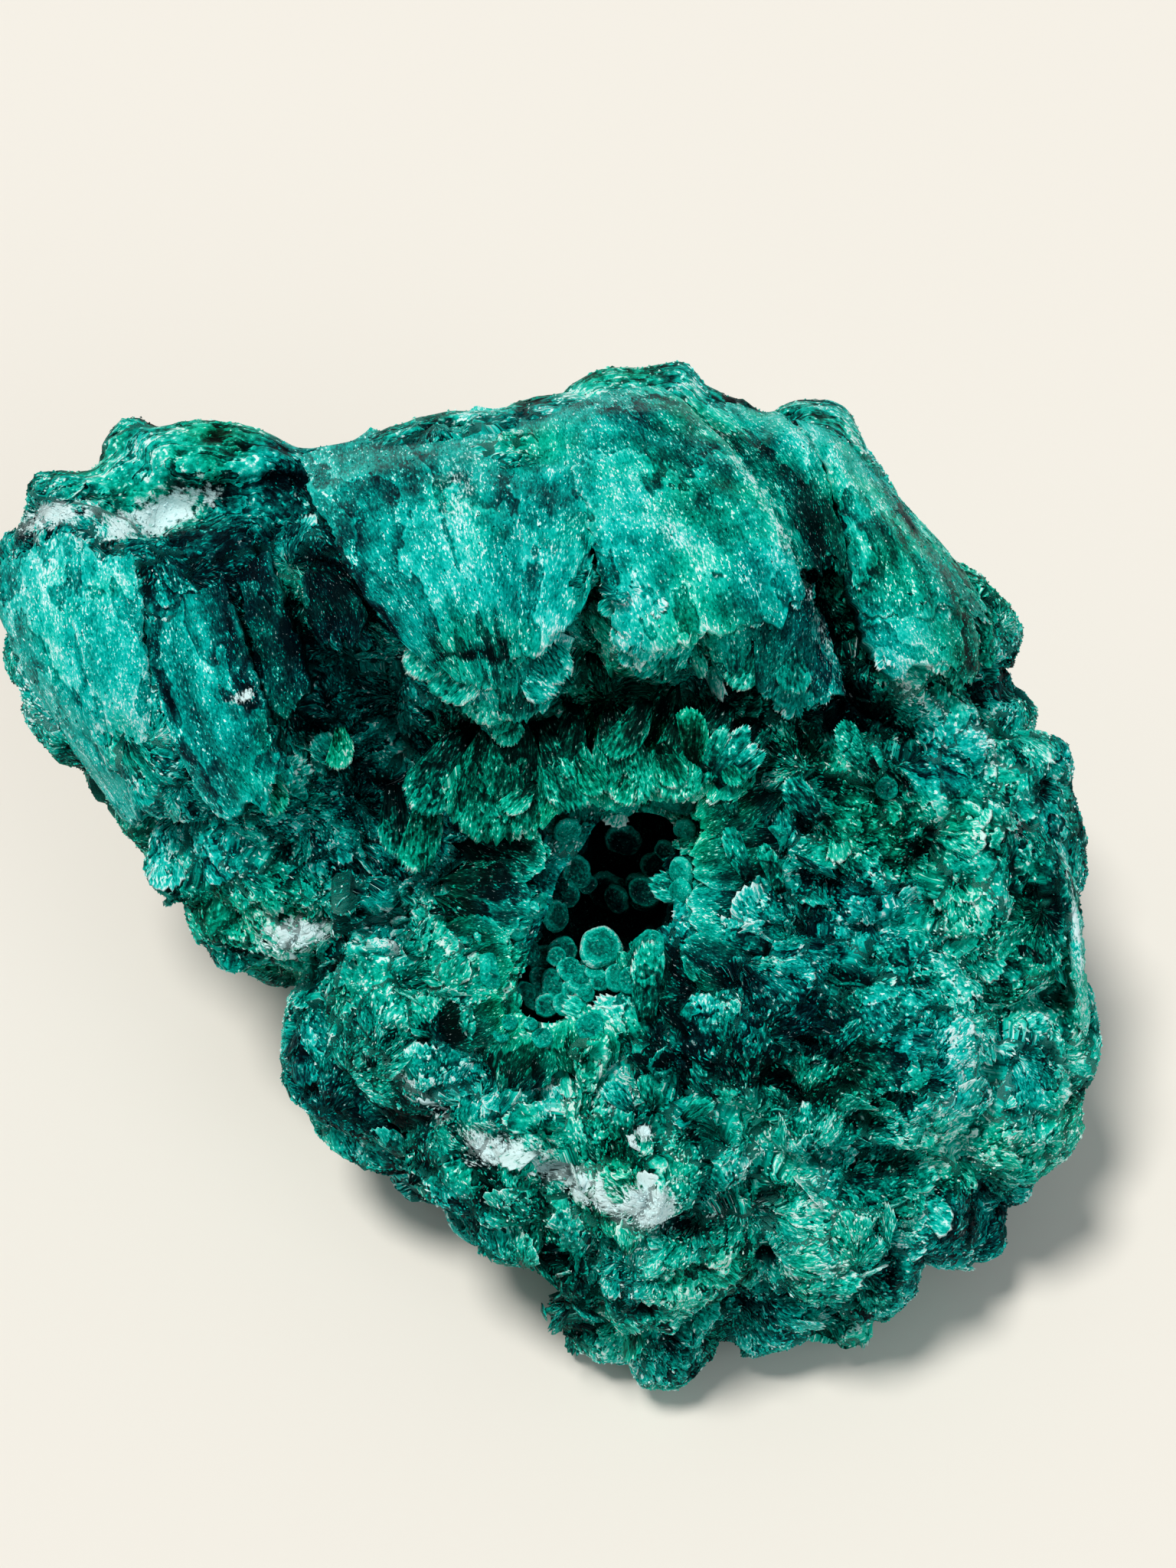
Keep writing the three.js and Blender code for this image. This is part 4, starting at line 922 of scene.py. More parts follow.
# The body's skin: rings up the vug's wall, over the face and down the flank to the flat
body = dict(around=640, wall=10, face=104, flank=38, tries=9000, cellGap=4.6, lean=(1.5, 8),
            slope=0.1, slopeReach=3.4, dome=0.15, crease=0.3, creaseWidth=0.5, drop=0.2, rib=0.3,
            ribWidth=0.8, pitFrom=0.36, pitFade=0.2, pitDepth=1.2, lumps=[(0.7, 0, 0.4), (1.7, 0, 0.24)],
            fibreReach=5.5, lipFade=11, footFade=6, calmed=0.8, rimCalmed=0.45, rimWidth=0.1)
# wallShade and the first hub tone paint the vug's wall and bottom near black, as painted shade
skinLook = dict(tone=0.58, slope=0.03, crease=0.1, pit=0.28, rib=0.12, cell=0.07, lump=0.3,
                under=0.08, wallShade=0.08, hubTones=[0.1, 0.3], wallHue=0.5)

edge, lip = spokesAt(np.arange(body["around"]) / body["around"])
wallShares = 1 - np.arange(1, body["wall"] + 1) / (body["wall"] + 1)
wallGrid = np.stack([vugWall(lip, b, 0) for b in wallShares])
faceShares = np.arange(body["face"] + 1) / body["face"]
flankShares = 1 + np.arange(1, body["flank"] + 1) / body["flank"]
outerShares = np.concatenate([faceShares, flankShares])
outerGrid = np.stack([outside(edge, lip, s) for s in outerShares])

# Middles of the broad domes, spread over the outside by two steady strides
strides = np.arange(sprays["count"])
middleEdge, middleLip = spokesAt((strides * sprays["strideRound"]) % 1)
outShares = ((strides * sprays["strideOut"]) % 1) ** sprays["outPower"]
middles = outside(middleEdge, middleLip, sprays["outSpan"] * outShares + sprays["outFrom"])

# A broad dome falls with the square of the distance to its middle, less a bell-shaped
# crease; it sets in at the lip and dies out at the foot
near, following, _ = nearestTwo(outerGrid, middles)
creaseDepth = sprays["crease"] * np.exp(-((following - near) / sprays["creaseWidth"]) ** 2)
broadLift = sprays["dome"] * (1 - (near / sprays["reach"]) ** 2) - creaseDepth
calm = calmAt(outerGrid) * (outerShares < 1.3)[:, None]
broadLift = broadLift * (1 - body["calmed"] * calm)
fromLip = outerShares * body["lipFade"]
fromFoot = np.minimum((2 - outerShares) * body["footFade"], body["footFade"])
ringFade = smooth(fromLip / 2) * smooth(fromFoot / 2)
normals = gridNormals(outerGrid, True)
outerGrid = outerGrid + normals * (broadLift * ringFade[:, None])[..., None]
print("body grid", outerGrid.shape)

# Middles of the small sprays, even by area and at least cellGap apart
normals = gridNormals(outerGrid, True)
weights = np.linalg.norm(np.cross(np.gradient(outerGrid, axis=0),
                                  np.roll(outerGrid, -1, 1) - outerGrid), axis=-1).ravel()
picks = rng.choice(weights.size, body["tries"], p=weights / weights.sum())
candidates = outerGrid.reshape(-1, 3)[picks]
kept = spacedOut(candidates, body["cellGap"])
cells = candidates[kept]
cellNormals = normals.reshape(-1, 3)[picks[kept]]
cellTone = rng.normal(0, skinLook["cell"], len(cells))
print("small sprays", len(cells))

# The way that sprays open: along the list's flows, into the vug near it, and elsewhere
# each its own way; they fan out from an origin behind their middle
opening = dict(own=0.6, listed=1.6, scatter=14, lowest=-12, toVug=2.4, vugReach=13, strong=1.6)


def cellWays():
    way = inFace(rng.uniform(0, 2 * np.pi, len(cells))) * opening["own"]
    for x, y, sizeX, sizeY, turn, angle in flows:
        flow = (x, y, sizeX, sizeY, turn, opening["listed"])
        share = lifted([flow], cells[:, 0], cells[:, 1]) * (cells[:, 2] > opening["lowest"])
        heading = np.radians(angle + rng.normal(0, opening["scatter"], len(cells)))
        way = way + inFace(heading) * share[:, None]
    toVug = np.concatenate([mouthMiddle - cells[:, :2], np.zeros((len(cells), 1))], 1)
    vugShare = opening["toVug"] * np.exp(-(np.linalg.norm(toVug, axis=1) / opening["vugReach"]) ** 2)
    way = way + unit(toVug) * vugShare[:, None]
    strength = np.clip(np.linalg.norm(way, axis=1) / opening["strong"], 0, 1)
    way = unit(way - cellNormals * (way * cellNormals).sum(1, keepdims=True))
    behind = mix(*body["lean"], strength * rng.uniform(0.6, 1, len(cells)))
    return way, cells - way * behind[:, None]


cellWay, cellOrigin = cellWays()
cellSide = np.cross(cellNormals, cellWay)

# The skin: each small spray is a low dome that slopes up along its way and drops over its
# tip, with ribs that radiate from its origin, creases between sprays, and scattered pits
warp = shifted(outerGrid, 0.42, 1, 1.1) + shifted(outerGrid, 1.2, 4, 0.5)
near, following, which = nearestTwo(outerGrid + warp, cells)
crease = np.exp(-((following - near) / body["creaseWidth"]) ** 2)
dome = 1 - (near / body["cellGap"]) ** 2
fromMiddle = ((outerGrid - cells[which]) * cellWay[which]).sum(-1)
reachOut = outerGrid - cellOrigin[which]
spin = np.arctan2((reachOut * cellSide[which]).sum(-1), (reachOut * cellWay[which]).sum(-1))
radius = np.linalg.norm(reachOut, axis=-1)
rib = noise(np.stack([spin * 6 / body["ribWidth"], radius * 0.25, which * 3.7], -1))
pit = smooth((noise(outerGrid * 0.34 + 19) - body["pitFrom"]) / body["pitFade"])
lump = noiseSum(outerGrid, body["lumps"])
fade = (smooth(fromLip / 1.2) * smooth(fromFoot / 1.5))[:, None]
climb = np.clip(fromMiddle, -body["slopeReach"], body["slopeReach"])
cellLift = body["slope"] * climb + body["dome"] * dome
cellLift = cellLift - body["crease"] * crease - body["pitDepth"] * pit + body["rib"] * rib
nearRim = np.exp(-((outerShares - 1) / body["rimWidth"]) ** 2)[:, None]
cellLift = ((cellLift + lump - body["drop"]) * fade * (1 - body["calmed"] * calm)
            * (1 - body["rimCalmed"] * nearRim))
outerGrid = outerGrid + normals * cellLift[..., None]
under = np.maximum(0, sprays["lowest"] - heightOver(outerGrid)) * (ringFade > 0)[:, None]
outerGrid[..., 2] += under / sinE
outerGrid[-1] = outside(edge, lip, 2.0)
normals = gridNormals(outerGrid, True)

# The skin's tone, hue and fibres, which run out from each spray's origin. The smooth sheets
# at the top take their pattern from their place instead.
# creases and pits are painted darker, as painted shade; ribs, lumps and each spray's tip are lighter
skinTone = (skinLook["tone"] + skinLook["slope"] * fromMiddle - skinLook["crease"] * crease
            - skinLook["pit"] * pit + skinLook["rib"] * rib + cellTone[which]
            + skinLook["lump"] * lump + faceTone(outerGrid) + mottle(outerGrid))
skinTone = heldBack(skinTone)
skinPale = facePale(outerGrid)
skinHue = faceHue(outerGrid)
fibreSkin = np.stack([spin * body["fibreReach"] + which * 3.1, radius + which * 1.7,
                      which * 0.37 + 0 * spin], -1)
raggedShare = outerShares[:, None] + 0.08 * noise(outerGrid * 0.4)
smoothTop = (calm > 0.35) & (outerGrid[..., 1] > 30) & (raggedShare < 1)
fibreSkin = np.where(smoothTop[..., None], outerGrid * [0.4, 0.9, 0.9], fibreSkin)

bodyGrid = np.concatenate([wallGrid, outerGrid])
bottom = wallGrid[0].mean(0) - [0, 0, 0.3]
points = np.concatenate([bodyGrid.reshape(-1, 3), bottom[None], onFlat(*baseHub)[None]])
triangles = ringFaces(*bodyGrid.shape[:2])
wallPoints = wallGrid.size // 3
# the vug's wall is painted near black, as painted shade
tone = np.concatenate([np.full(wallPoints, skinLook["wallShade"]),
                       skinTone.ravel() - skinLook["under"], skinLook["hubTones"]])
pale = np.concatenate([np.zeros(wallPoints), skinPale.ravel(), [0, 0]])
hue = np.concatenate([np.full(wallPoints, skinLook["wallHue"]), skinHue.ravel(),
                      [skinLook["wallHue"]] * 2])
fibre = np.concatenate([wallGrid.reshape(-1, 3), fibreSkin.reshape(-1, 3), [[0, 0, 0]] * 2])
skin = makePiece("malachite_body", points, triangles,
                 dict(tone=tone, pale=pale, hue=hue, fibre=fibre))
place(skin, sprayed, "malachite", "malachite_mass")
print("body", len(triangles), "triangles")


# The silky fans: each one's place in the face at shares a across and b along, as the solid
# has it
def fanPlace(fan, a, b):
    left = np.array(fan["left"], float)
    right = np.array(fan["right"], float)
    way = unit(left[2] + right[2] - left[0] - right[0])
    leftAt = pulled(left[0], left[1], left[2], b[..., None])
    rightAt = pulled(right[0], right[1], right[2], b[..., None])
    bow = fan["bow"] * (1 - (2 * a - 1) ** 2) * b ** 2
    return mix(leftAt, rightAt, a[..., None]) + way * bow[..., None]


def fanTop(fan, a, b):
    flat = fanPlace(fan, a, np.clip(b, 0, 1))
    swell = (1 - np.abs(2 * a - 1) ** 2.4) ** 0.7 * smooth(b / 0.25) * (1 - 0.6 * b ** 4)
    height = browHeight(flat[..., 0], flat[..., 1]) + pulled(*fan["rise"], b)
    height = height + fan["crown"] * swell - fan.get("sunk", 0)
    height = height + fan.get("slant", 0) * (a - 0.5) * smooth(b / 0.3)
    return np.concatenate([flat, height[..., None]], -1)


def fanUnder(fan, a, b):
    flat = fanPlace(fan, a, b)
    rise = pulled(*fan["rise"], b)
    thick = mix(6 + rise, 2, smooth((b - 0.55) / 0.45))
    height = browHeight(flat[..., 0], flat[..., 1]) + rise - thick - fan.get("sunk", 0)
    height = height + fan.get("slant", 0) * (a - 0.5) * smooth(b / 0.3)
    return np.concatenate([flat, height[..., None]], -1)


# A closed sheet from two grids of the same size: triangles of both sides and four edges
def sheetFaces(along, across):
    upper, loop = gridFaces(along, across)
    low = along * across
    following = np.roll(loop, -1)
    wall = [np.stack([loop, following, following + low], 1),
            np.stack([loop, following + low, loop + low], 1)]
    return np.concatenate([upper, upper[:, [0, 2, 1]] + low, *wall])


# Turns a closed body's faces outward: its volume is the sum of its corner products
def outward(points, faces):
    a, b, c = (points[faces[:, k]] for k in range(3))
    volume = np.einsum("ij,ij->i", a, np.cross(b, c)).sum()
    return faces if volume > 0 else faces[:, ::-1]


# Ridges that run along the fibres: noise that changes fast across and slowly along
def ribs(a, b, width, length, seed):
    total = np.zeros(a.shape)
    for perMm, height in ((0.3, 0.34), (0.8, 0.2), (2.0, 0.1)):
        at = np.stack([a * width * perMm, b * length * perMm * 0.07, np.full(a.shape, seed)], -1)
        total += height * noise(at + seed * 7.3)
    return total


# A fan's mesh: its side edges and its root line wander in and out, and its tip is cut by scallops, lobes
# and teeth, each with its waves per mm and depth. The silk on it has ribs along the fibres, painted
# lighter where they rise, a soft roll and a painted highlight along its edge; its underside is painted
# darker, as painted shade.
silkSheet = dict(cell=0.3, petalCell=0.26, mostAlong=150, mostAcross=120, bowed=1.15,
                 cuts=[(0.22, 1.8), (0.7, 1), (2.2, 0.5)], sideWander=0.8, sideWaves=(0.26, 1.6),
                 rootWander=2.4, rootWaves=0.2, swell=0.75, ripple=0.3, calmEdge=1.2,
                 ribTone=0.35, mottle=0.8, tipTone=0.06, edgeLine=0.14, lineWidth=0.45,
                 hue=-0.15, under=0.34, wall=0.8)
fanPieces = {}


# Noise along a fan's edge: each edge and wave length has its own line of it
def edgeNoise(at, perMm, line, seed):
    return noise(np.stack([at * perMm, 0 * at + line, 0 * at + seed], -1))


def makeFan(name, fan, seed, cell):
    left = np.array(fan["left"], float)
    right = np.array(fan["right"], float)
    length = np.linalg.norm(left[2] + right[2] - left[0] - right[0]) / 2 * silkSheet["bowed"]
    width = max(np.linalg.norm(left[k] - right[k]) for k in range(3))
    along = int(np.clip(length / cell, 12, silkSheet["mostAlong"]))
    across = int(np.clip(width / cell, 10, silkSheet["mostAcross"]))
    b, a = np.meshgrid(np.linspace(0, 1, along), np.linspace(0, 1, across), indexing="ij")
    cutBack = 0
    for line, (perMm, deep) in enumerate(silkSheet["cuts"], 1):
        cutBack = cutBack + np.abs(edgeNoise(a * width, perMm, line, seed)) * deep
    cutBack = cutBack * fan.get("ragged", 1)
    bb = b * (1 - cutBack / length * smooth((b - 0.4) / 0.6))
    rootIn = np.abs(edgeNoise(a * width, silkSheet["rootWaves"], 8, seed))
    bb = bb + rootIn * silkSheet["rootWander"] / length * (1 - b) ** 4
    wander = silkSheet["sideWander"] / width * smooth(b / 0.2)
    slow, quick = silkSheet["sideWaves"]
    inLeft, inRight = (np.abs(edgeNoise(b * length, slow, line, seed)
                              + 0.4 * edgeNoise(b * length, quick, line + 1, seed)) * wander
                       for line in (4, 6))
    aa = inLeft + a * (1 - inLeft - inRight)
    upper = fanTop(fan, aa, bb)
    under = fanUnder(fan, aa, bb)
    rib = ribs(aa, bb, width, length, seed)
    edgeFade = (smooth(a * width / silkSheet["calmEdge"])
                * smooth((1 - a) * width / silkSheet["calmEdge"]))
    roll = noiseSum(upper, [(0.2, seed, silkSheet["swell"]), (0.6, 0, silkSheet["ripple"])])
    relief = rib * (0.35 + 0.65 * edgeFade) + roll * fan.get("roll", 1) * edgeFade
    upper[..., 2] += relief * smooth(bb / 0.15)
    points = np.concatenate([upper.reshape(-1, 3), under.reshape(-1, 3)])
    faces = outward(points, sheetFaces(along, across))

    # The fibres of the underside are shifted by the wall's height, so that they run on
    # down the wall instead of being drawn out along it
    fibre = np.stack([aa * width + seed * 40, bb * length, a * 0 + seed], -1)
    down = (upper - under)[..., 2:] * [silkSheet["wall"], silkSheet["wall"], 0]
    fibre = np.concatenate([fibre.reshape(-1, 3), (fibre + down).reshape(-1, 3)])
    tip = smooth((b - 0.72) / 0.28)
    toneTop = (0.5 + fan["tone"] + rib * silkSheet["ribTone"] + faceTone(upper)
               + mottle(upper) * silkSheet["mottle"])
    toneTop = toneTop + tip * fan.get("tipTone", silkSheet["tipTone"]) - fan.get("rootShade", 0) * (1 - b)
    # a painted highlight along the side and tip edges
    fromSide = np.minimum(a, 1 - a) * width / silkSheet["lineWidth"]
    fromTip = (1 - b) * length / silkSheet["lineWidth"]
    toneTop = toneTop + silkSheet["edgeLine"] * np.exp(-np.minimum(fromSide, fromTip) ** 2)
    toneTop = heldBack(toneTop)
    paleTop = np.clip(facePale(upper) + fan["pale"] * 0.5, 0, 1)
    hueTop = np.clip(faceHue(upper) + fan.get("hue", silkSheet["hue"]), 0, 1)
    # the underside is painted darker, as painted shade
    tone = np.concatenate([toneTop.ravel(), toneTop.ravel() - silkSheet["under"]])
    pale = np.concatenate([paleTop.ravel(), np.zeros(under.size // 3)])
    values = dict(tone=tone, pale=pale, hue=np.tile(hueTop.ravel(), 2), fibre=fibre)
    place(makePiece(name, points, faces, values), silk, "malachite", None)
    fanPieces[name] = dict(upper=upper, tone=toneTop, pale=paleTop, hue=hueTop)
    return len(faces)


fanTriangles = 0
for k, (name, fan) in enumerate(fans.items()):
    fanTriangles += makeFan("silk_" + name, fan, k + 1, silkSheet["cell"])
print("fans", fanTriangles, "triangles")

# A petal is a small fan that widens from its root and rounds off over the vug's mouth.
# Those in front have their roots under the brow; those at the sides are sunk in the skin.
petalSpread = 1.3
frontPetals = (0, 1, 2, 3, 14)
frontPetalRoot = -7
frontPetalSunk = 0.3
sidePetalSunk = 0.9
petalLook = dict(tone=-0.05, pale=0, ragged=0.6, tipTone=0.14, hue=0.2, rootShade=0.34, roll=0.5)


def petalFan(k):
    root, tip, half, tipRise = petals[k]
    root = np.array(root, float)
    way = np.array(tip, float) - root
    length = np.linalg.norm(way)
    side = np.array([-way[1], way[0]]) / length
    left, right = ([root + way * b + side * sign * wide * half * petalSpread
                    for b, wide in petalEdge] for sign in (1, -1))
    rootRise, sunk = petalRise[0], sidePetalSunk
    if k in frontPetals:
        rootRise, sunk = frontPetalRoot, frontPetalSunk
    return dict(left=left, right=right, bow=petalBow * length, rise=(rootRise, petalRise[1], tipRise),
                crown=petalCrown * 0.6, sunk=sunk, **petalLook)


petalTriangles = 0
for k in range(len(petals)):
    petalTriangles += makeFan(f"petal_{k + 1}", petalFan(k), 30 + k, silkSheet["petalCell"])
print("petals", petalTriangles, "triangles")


# Flakes: each is a short crystal that lies on the surface, flat below, pointed at both ends and ridged on
# top. Its corners are root, tip, left, right and ridge. Tones are near the ground's, with painted shade
# on some flakes, painted light on some and a painted glint on a few.
flake = dict(ridge=1.3, clearOfFlat=0.1, cornerTones=[-0.14, 0.1, 0, 0, 0.04], tone=0.06,
             toneSpread=0.09, shaded=0.2, shade=-0.22, lit=0.86, light=0.2, glinting=0.96,
             glint=0.4)
flakeFaces = np.array([[0, 2, 3], [0, 3, 4], [0, 4, 2], [1, 3, 2], [1, 4, 3], [1, 2, 4]])


def makeFlakes(name, middles, ways, normals, lengths, widths, tone, pale, hue):
    ways = unit(ways)
    sides = unit(np.cross(normals, ways))
    ups = np.cross(ways, sides)
    half = ways * lengths[:, None] / 2
    wide = widths[:, None] / 2
    points = np.stack([middles - half, middles + half, middles + sides * wide,
                       middles - sides * wide, middles + ups * wide * flake["ridge"]], 1)
    stays = heightOver(points).min(1) > flake["clearOfFlat"]
    points = points[stays]
    faces = np.arange(len(points))[:, None, None] * 5 + outward(points[0], flakeFaces)[None]
    faces = faces.reshape(-1, 3)
    toneAt = (tone[stays, None] + np.array(flake["cornerTones"])).ravel()
    values = dict(tone=toneAt, pale=np.repeat(pale[stays], 5), hue=np.repeat(hue[stays], 5))
    piece = makePiece(name, points.reshape(-1, 3), faces, values, False)
    place(piece, flakeSilk, "malachite", None)
    return len(faces)


# painted shade, painted light and painted glints, drawn at random over the ground's tone
def flakeTone(ground):
    lot = rng.random(len(ground))
    jump = np.where(lot > flake["lit"], flake["light"], 0)
    jump = np.where(lot > flake["glinting"], flake["glint"], jump)
    jump = np.where(lot < flake["shaded"], flake["shade"], jump)
    return ground + flake["tone"] + rng.normal(0, flake["toneSpread"], len(ground)) + jump


# Whether points of the face lie under a fan or a petal, by crossing each outline
def coveredBy(shapes, x, y, sideInset=0.07, rootInset=0.1, tipInset=0.06):
    inside = np.zeros(len(x), bool)
    for fan in shapes:
        b = np.linspace(rootInset, 1 - tipInset, 12)
        a = np.linspace(sideInset, 1 - sideInset, 8)
        outline = np.concatenate([
            fanPlace(fan, 0 * b + a[0], b), fanPlace(fan, a[1:], 0 * a[1:] + b[-1]),
            fanPlace(fan, 0 * b[1:] + a[-1], b[::-1][1:]),
            fanPlace(fan, a[::-1][1:], 0 * a[1:] + b[0]),
        ])
        odd = np.zeros(len(x), bool)
        for (x1, y1), (x2, y2) in zip(outline, np.roll(outline, -1, 0)):
            if y1 != y2:
                crosses = (y1 > y) != (y2 > y)
                odd ^= crosses & (x < (x2 - x1) * (y - y1) / (y2 - y1) + x1)
        inside |= odd
    return inside


# Random places on a grid of points, even by area, with their normals and shares
def scatter(grid, normals, count, closed):
    here = grid if not closed else np.concatenate([grid, grid[:, :1]], 1)
    cellNormal = np.cross(here[1:, :-1] - here[:-1, :-1], here[:-1, 1:] - here[:-1, :-1])
    weight = np.linalg.norm(cellNormal, axis=-1)
    pick = rng.choice(weight.size, count, p=weight.ravel() / weight.sum())
    i, j = np.unravel_index(pick, weight.shape)
    f = rng.random((count, 1))
    g = rng.random((count, 1))
    p = (here[i, j] * (1 - f) * (1 - g) + here[i + 1, j] * f * (1 - g)
         + here[i, j + 1] * (1 - f) * g + here[i + 1, j + 1] * f * g)
    return p, normals[i, j % normals.shape[1]], i, j


# A frond is a thin fan of fused fibres. Each fibre runs from the root at its own angle, to its own reach,
# so that the tip is toothed; the frond bows up across its width, and its outline closes on one keel point
# underneath. columns is the number of fibres, curl how far the tip bends down, cut how deep the teeth
# are, and fall how much darker the root is painted, as painted shade. Its tip and side edges carry a
# painted highlight, raised fibres are painted lighter and the keel is painted in shade.
frond = dict(rows=(0.0, 0.3, 0.6, 0.84, 0.93, 1.0), jitter=0.02, rootHalf=0.1, toothCut=0.07,
             unevenCut=0.07, lopsided=0.16, taper=0.36, crown=0.08, keel=0.1, keelAt=0.4,
             ridge=0.014, clearOfFlat=0.15, edgeLine=0.2, lineFrom=0.9, toneFrom=0.8,
             cutShade=1.2, ridgeLight=3, keelShade=0.3, seeds=60)


def makeFronds(name, roots, axes, faceNormals, lengths, spreads, tone, pale, hue, columns=15,
               curl=0.1, cut=1, fall=0.3):
    count = len(roots)
    rows = np.array(frond["rows"])
    axes = unit(axes)
    sides = unit(np.cross(faceNormals, axes))
    ups = np.cross(axes, sides)
    a = np.linspace(-1, 1, columns)[None] + rng.normal(0, frond["jitter"], (count, columns))
    tooth = (np.arange(columns) % 2)[None] * frond["toothCut"] * cut
    tooth = tooth * rng.uniform(0.2, 1.8, (count, columns))
    tooth = tooth + rng.uniform(0, frond["unevenCut"], (count, columns)) * cut
    lopsided = rng.normal(0, frond["lopsided"], (count, 1)) * a
    reach = lengths[:, None] * (1 - frond["taper"] * a ** 2 + lopsided) * (1 - tooth)
    angle = a * spreads[:, None]
    way = axes[:, None] * np.cos(angle)[..., None] + sides[:, None] * np.sin(angle)[..., None]
    b = rows[None, :, None]
    along = way[:, None] * (reach[:, None] * b)[..., None]
    footWide = a[:, None] * frond["rootHalf"] * lengths[:, None, None]
    foot = sides[:, None, None] * footWide[..., None]
    lift = (frond["crown"] * (1 - a[:, None] ** 2) * np.sin(np.pi * np.minimum(b, 0.8))
            - curl * b ** 2) * lengths[:, None, None]
    ridge = rng.normal(0, 1, (count, 1, columns)) * frond["ridge"]
    lift = lift + ridge * lengths[:, None, None] * b
    points = roots[:, None, None] + along + foot + ups[:, None, None] * lift[..., None]
    keel = (roots + axes * lengths[:, None] * frond["keelAt"]
            - ups * lengths[:, None] * frond["keel"])
    whole = np.concatenate([points.reshape(count, -1, 3), keel[:, None]], 1)
    top, loop = gridFaces(len(rows), columns)
    low = np.stack([loop, np.roll(loop, -1), np.full(len(loop), len(rows) * columns)], 1)
    stays = heightOver(whole).min(1) > frond["clearOfFlat"]
    whole = whole[stays]
    shape = outward(whole[0], np.concatenate([top, low]))
    faces = (np.arange(len(whole))[:, None, None] * whole.shape[1] + shape[None]).reshape(-1, 3)
    # painted shade towards the root, and a painted highlight on the tip and side edges and on raised
    # fibres
    tipLine = smooth((b - frond["lineFrom"]) / 0.1)
    sideLine = smooth((np.abs(a[:, None]) - frond["lineFrom"]) / 0.1) * b
    toneAt = (tone[:, None, None] + (b - frond["toneFrom"]) * fall
              + frond["edgeLine"] * np.maximum(tipLine, sideLine)
              - (tooth[:, None] - 0.06) * frond["cutShade"] + ridge * frond["ridgeLight"])
    # the keel under the frond is painted in shade
    keelTone = tone[:, None] - frond["keelShade"]
    toneAt = np.concatenate([toneAt.reshape(count, -1), keelTone], 1)[stays]
    paleAt = np.repeat(pale[stays, None], whole.shape[1], 1)
    hueAt = np.repeat(hue[stays, None], whole.shape[1], 1)
    seeds = rng.uniform(0, frond["seeds"], (count, 1, 1))
    fibreX = a[:, None] * (spreads * lengths)[:, None, None] * (0.3 + 0.7 * b) + seeds
    fibreY = reach[:, None] * b + seeds * 1.7
    fibre = np.stack([fibreX, fibreY, fibreX * 0 + seeds], -1).reshape(count, -1, 3)
    fibre = np.concatenate([fibre, fibre[:, :1]], 1)[stays]
    values = dict(tone=toneAt.ravel(), pale=paleAt.ravel(), hue=hueAt.ravel(),
                  fibre=fibre.reshape(-1, 3))
    place(makePiece(name, whole.reshape(-1, 3), faces, values), frondSilk, "malachite", None)
    return len(faces)


# Rows of what is known of some ground
def only(ground, chosen):
    return {key: value[chosen] for key, value in ground.items()}


# Makes flakes or fronds in several pieces of about the same count
def inPieces(make, name, pieces, *columns):
    parts = np.array_split(np.arange(len(columns[0])), pieces)
    return sum(make(f"{name}_{k + 1}", *(column[part] for column in columns))
               for k, part in enumerate(parts))


coverShapes = [*fans.values(), *[petalFan(k) for k in frontPetals]]


# Places on the skin with all that a flake or a frond needs to know of its ground
def onSkin(shareLow, shareHigh, count):
    rows = np.flatnonzero((outerShares >= shareLow) & (outerShares <= shareHigh))
    first = rows[0]
    part = slice(first, rows[-1] + 1)
    p, n, i, j = scatter(outerGrid[part], normals[part], count, True)
    i = i + first
    j = j % outerGrid.shape[1]
    if shareHigh <= 1.1:
        keep = ~coveredBy(coverShapes, p[:, 0], p[:, 1]) & (rng.random(len(p)) > calmAt(p))
        p, n, i, j = p[keep], n[keep], i[keep], j[keep]
    k = which[i, j]
    along = p - cellOrigin[k]
    along = unit(along - n * (along * n).sum(1, keepdims=True))
    return dict(p=p, n=n, along=along, cell=k, tone=skinTone[i, j], pale=skinPale[i, j],
                hue=skinHue[i, j], share=outerShares[i])


# Fronds of the body: they lie along their spray and lap over its tip
coat = dict(gapFace=1.9, gapFlank=3.6, length=(1.8, 5.0), tilt=(0.0, 0.24), spread=(0.3, 0.8),
            sink=0.4, rootShare=0.4, wander=0.4, clearOfRim=0.13, tone=0.03, toneSpread=0.07)


def coatFronds(name, shareLow, shareHigh, tries, gap, pieces):
    ground = onSkin(shareLow, shareHigh, tries)
    ground = only(ground, np.abs(ground["share"] - 1) > coat["clearOfRim"])
    ground = only(ground, spacedOut(ground["p"], gap))
    p, n, along = ground["p"], ground["n"], ground["along"]
    count = len(p)
    side = np.cross(n, along)
    along = unit(along + side * rng.normal(0, coat["wander"], (count, 1)))
    tilt = mix(*coat["tilt"], rng.random(count))[:, None]
    axes = along * np.cos(tilt) + n * np.sin(tilt)
    lengths = mix(*coat["length"], rng.random(count) ** 1.6)
    spreads = mix(*coat["spread"], rng.random(count))
    roots = p - n * coat["sink"] - axes * lengths[:, None] * coat["rootShare"]
    tone = ground["tone"] + rng.normal(coat["tone"], coat["toneSpread"], count)
    print(name, count, "fronds")
    return inPieces(makeFronds, name, pieces, roots, axes, n, lengths, spreads, tone,
                    ground["pale"], ground["hue"])


frondTriangles = coatFronds("fronds_face", 0.0, 1.06, 9000, coat["gapFace"], 2)
frondTriangles += coatFronds("fronds_flank", 1.06, 1.96, 5000, coat["gapFlank"], 1)

# Flakes of the body: short ones that lie along their spray, with tips that stand off a
# little, flatter near the rim
grain = dict(perFace=86000, perFlank=12000, length=(0.24, 0.8), width=(0.13, 0.3),
             tilt=(-0.15, 0.36), wander=0.45, lift=0.04, rimWidth=0.12)


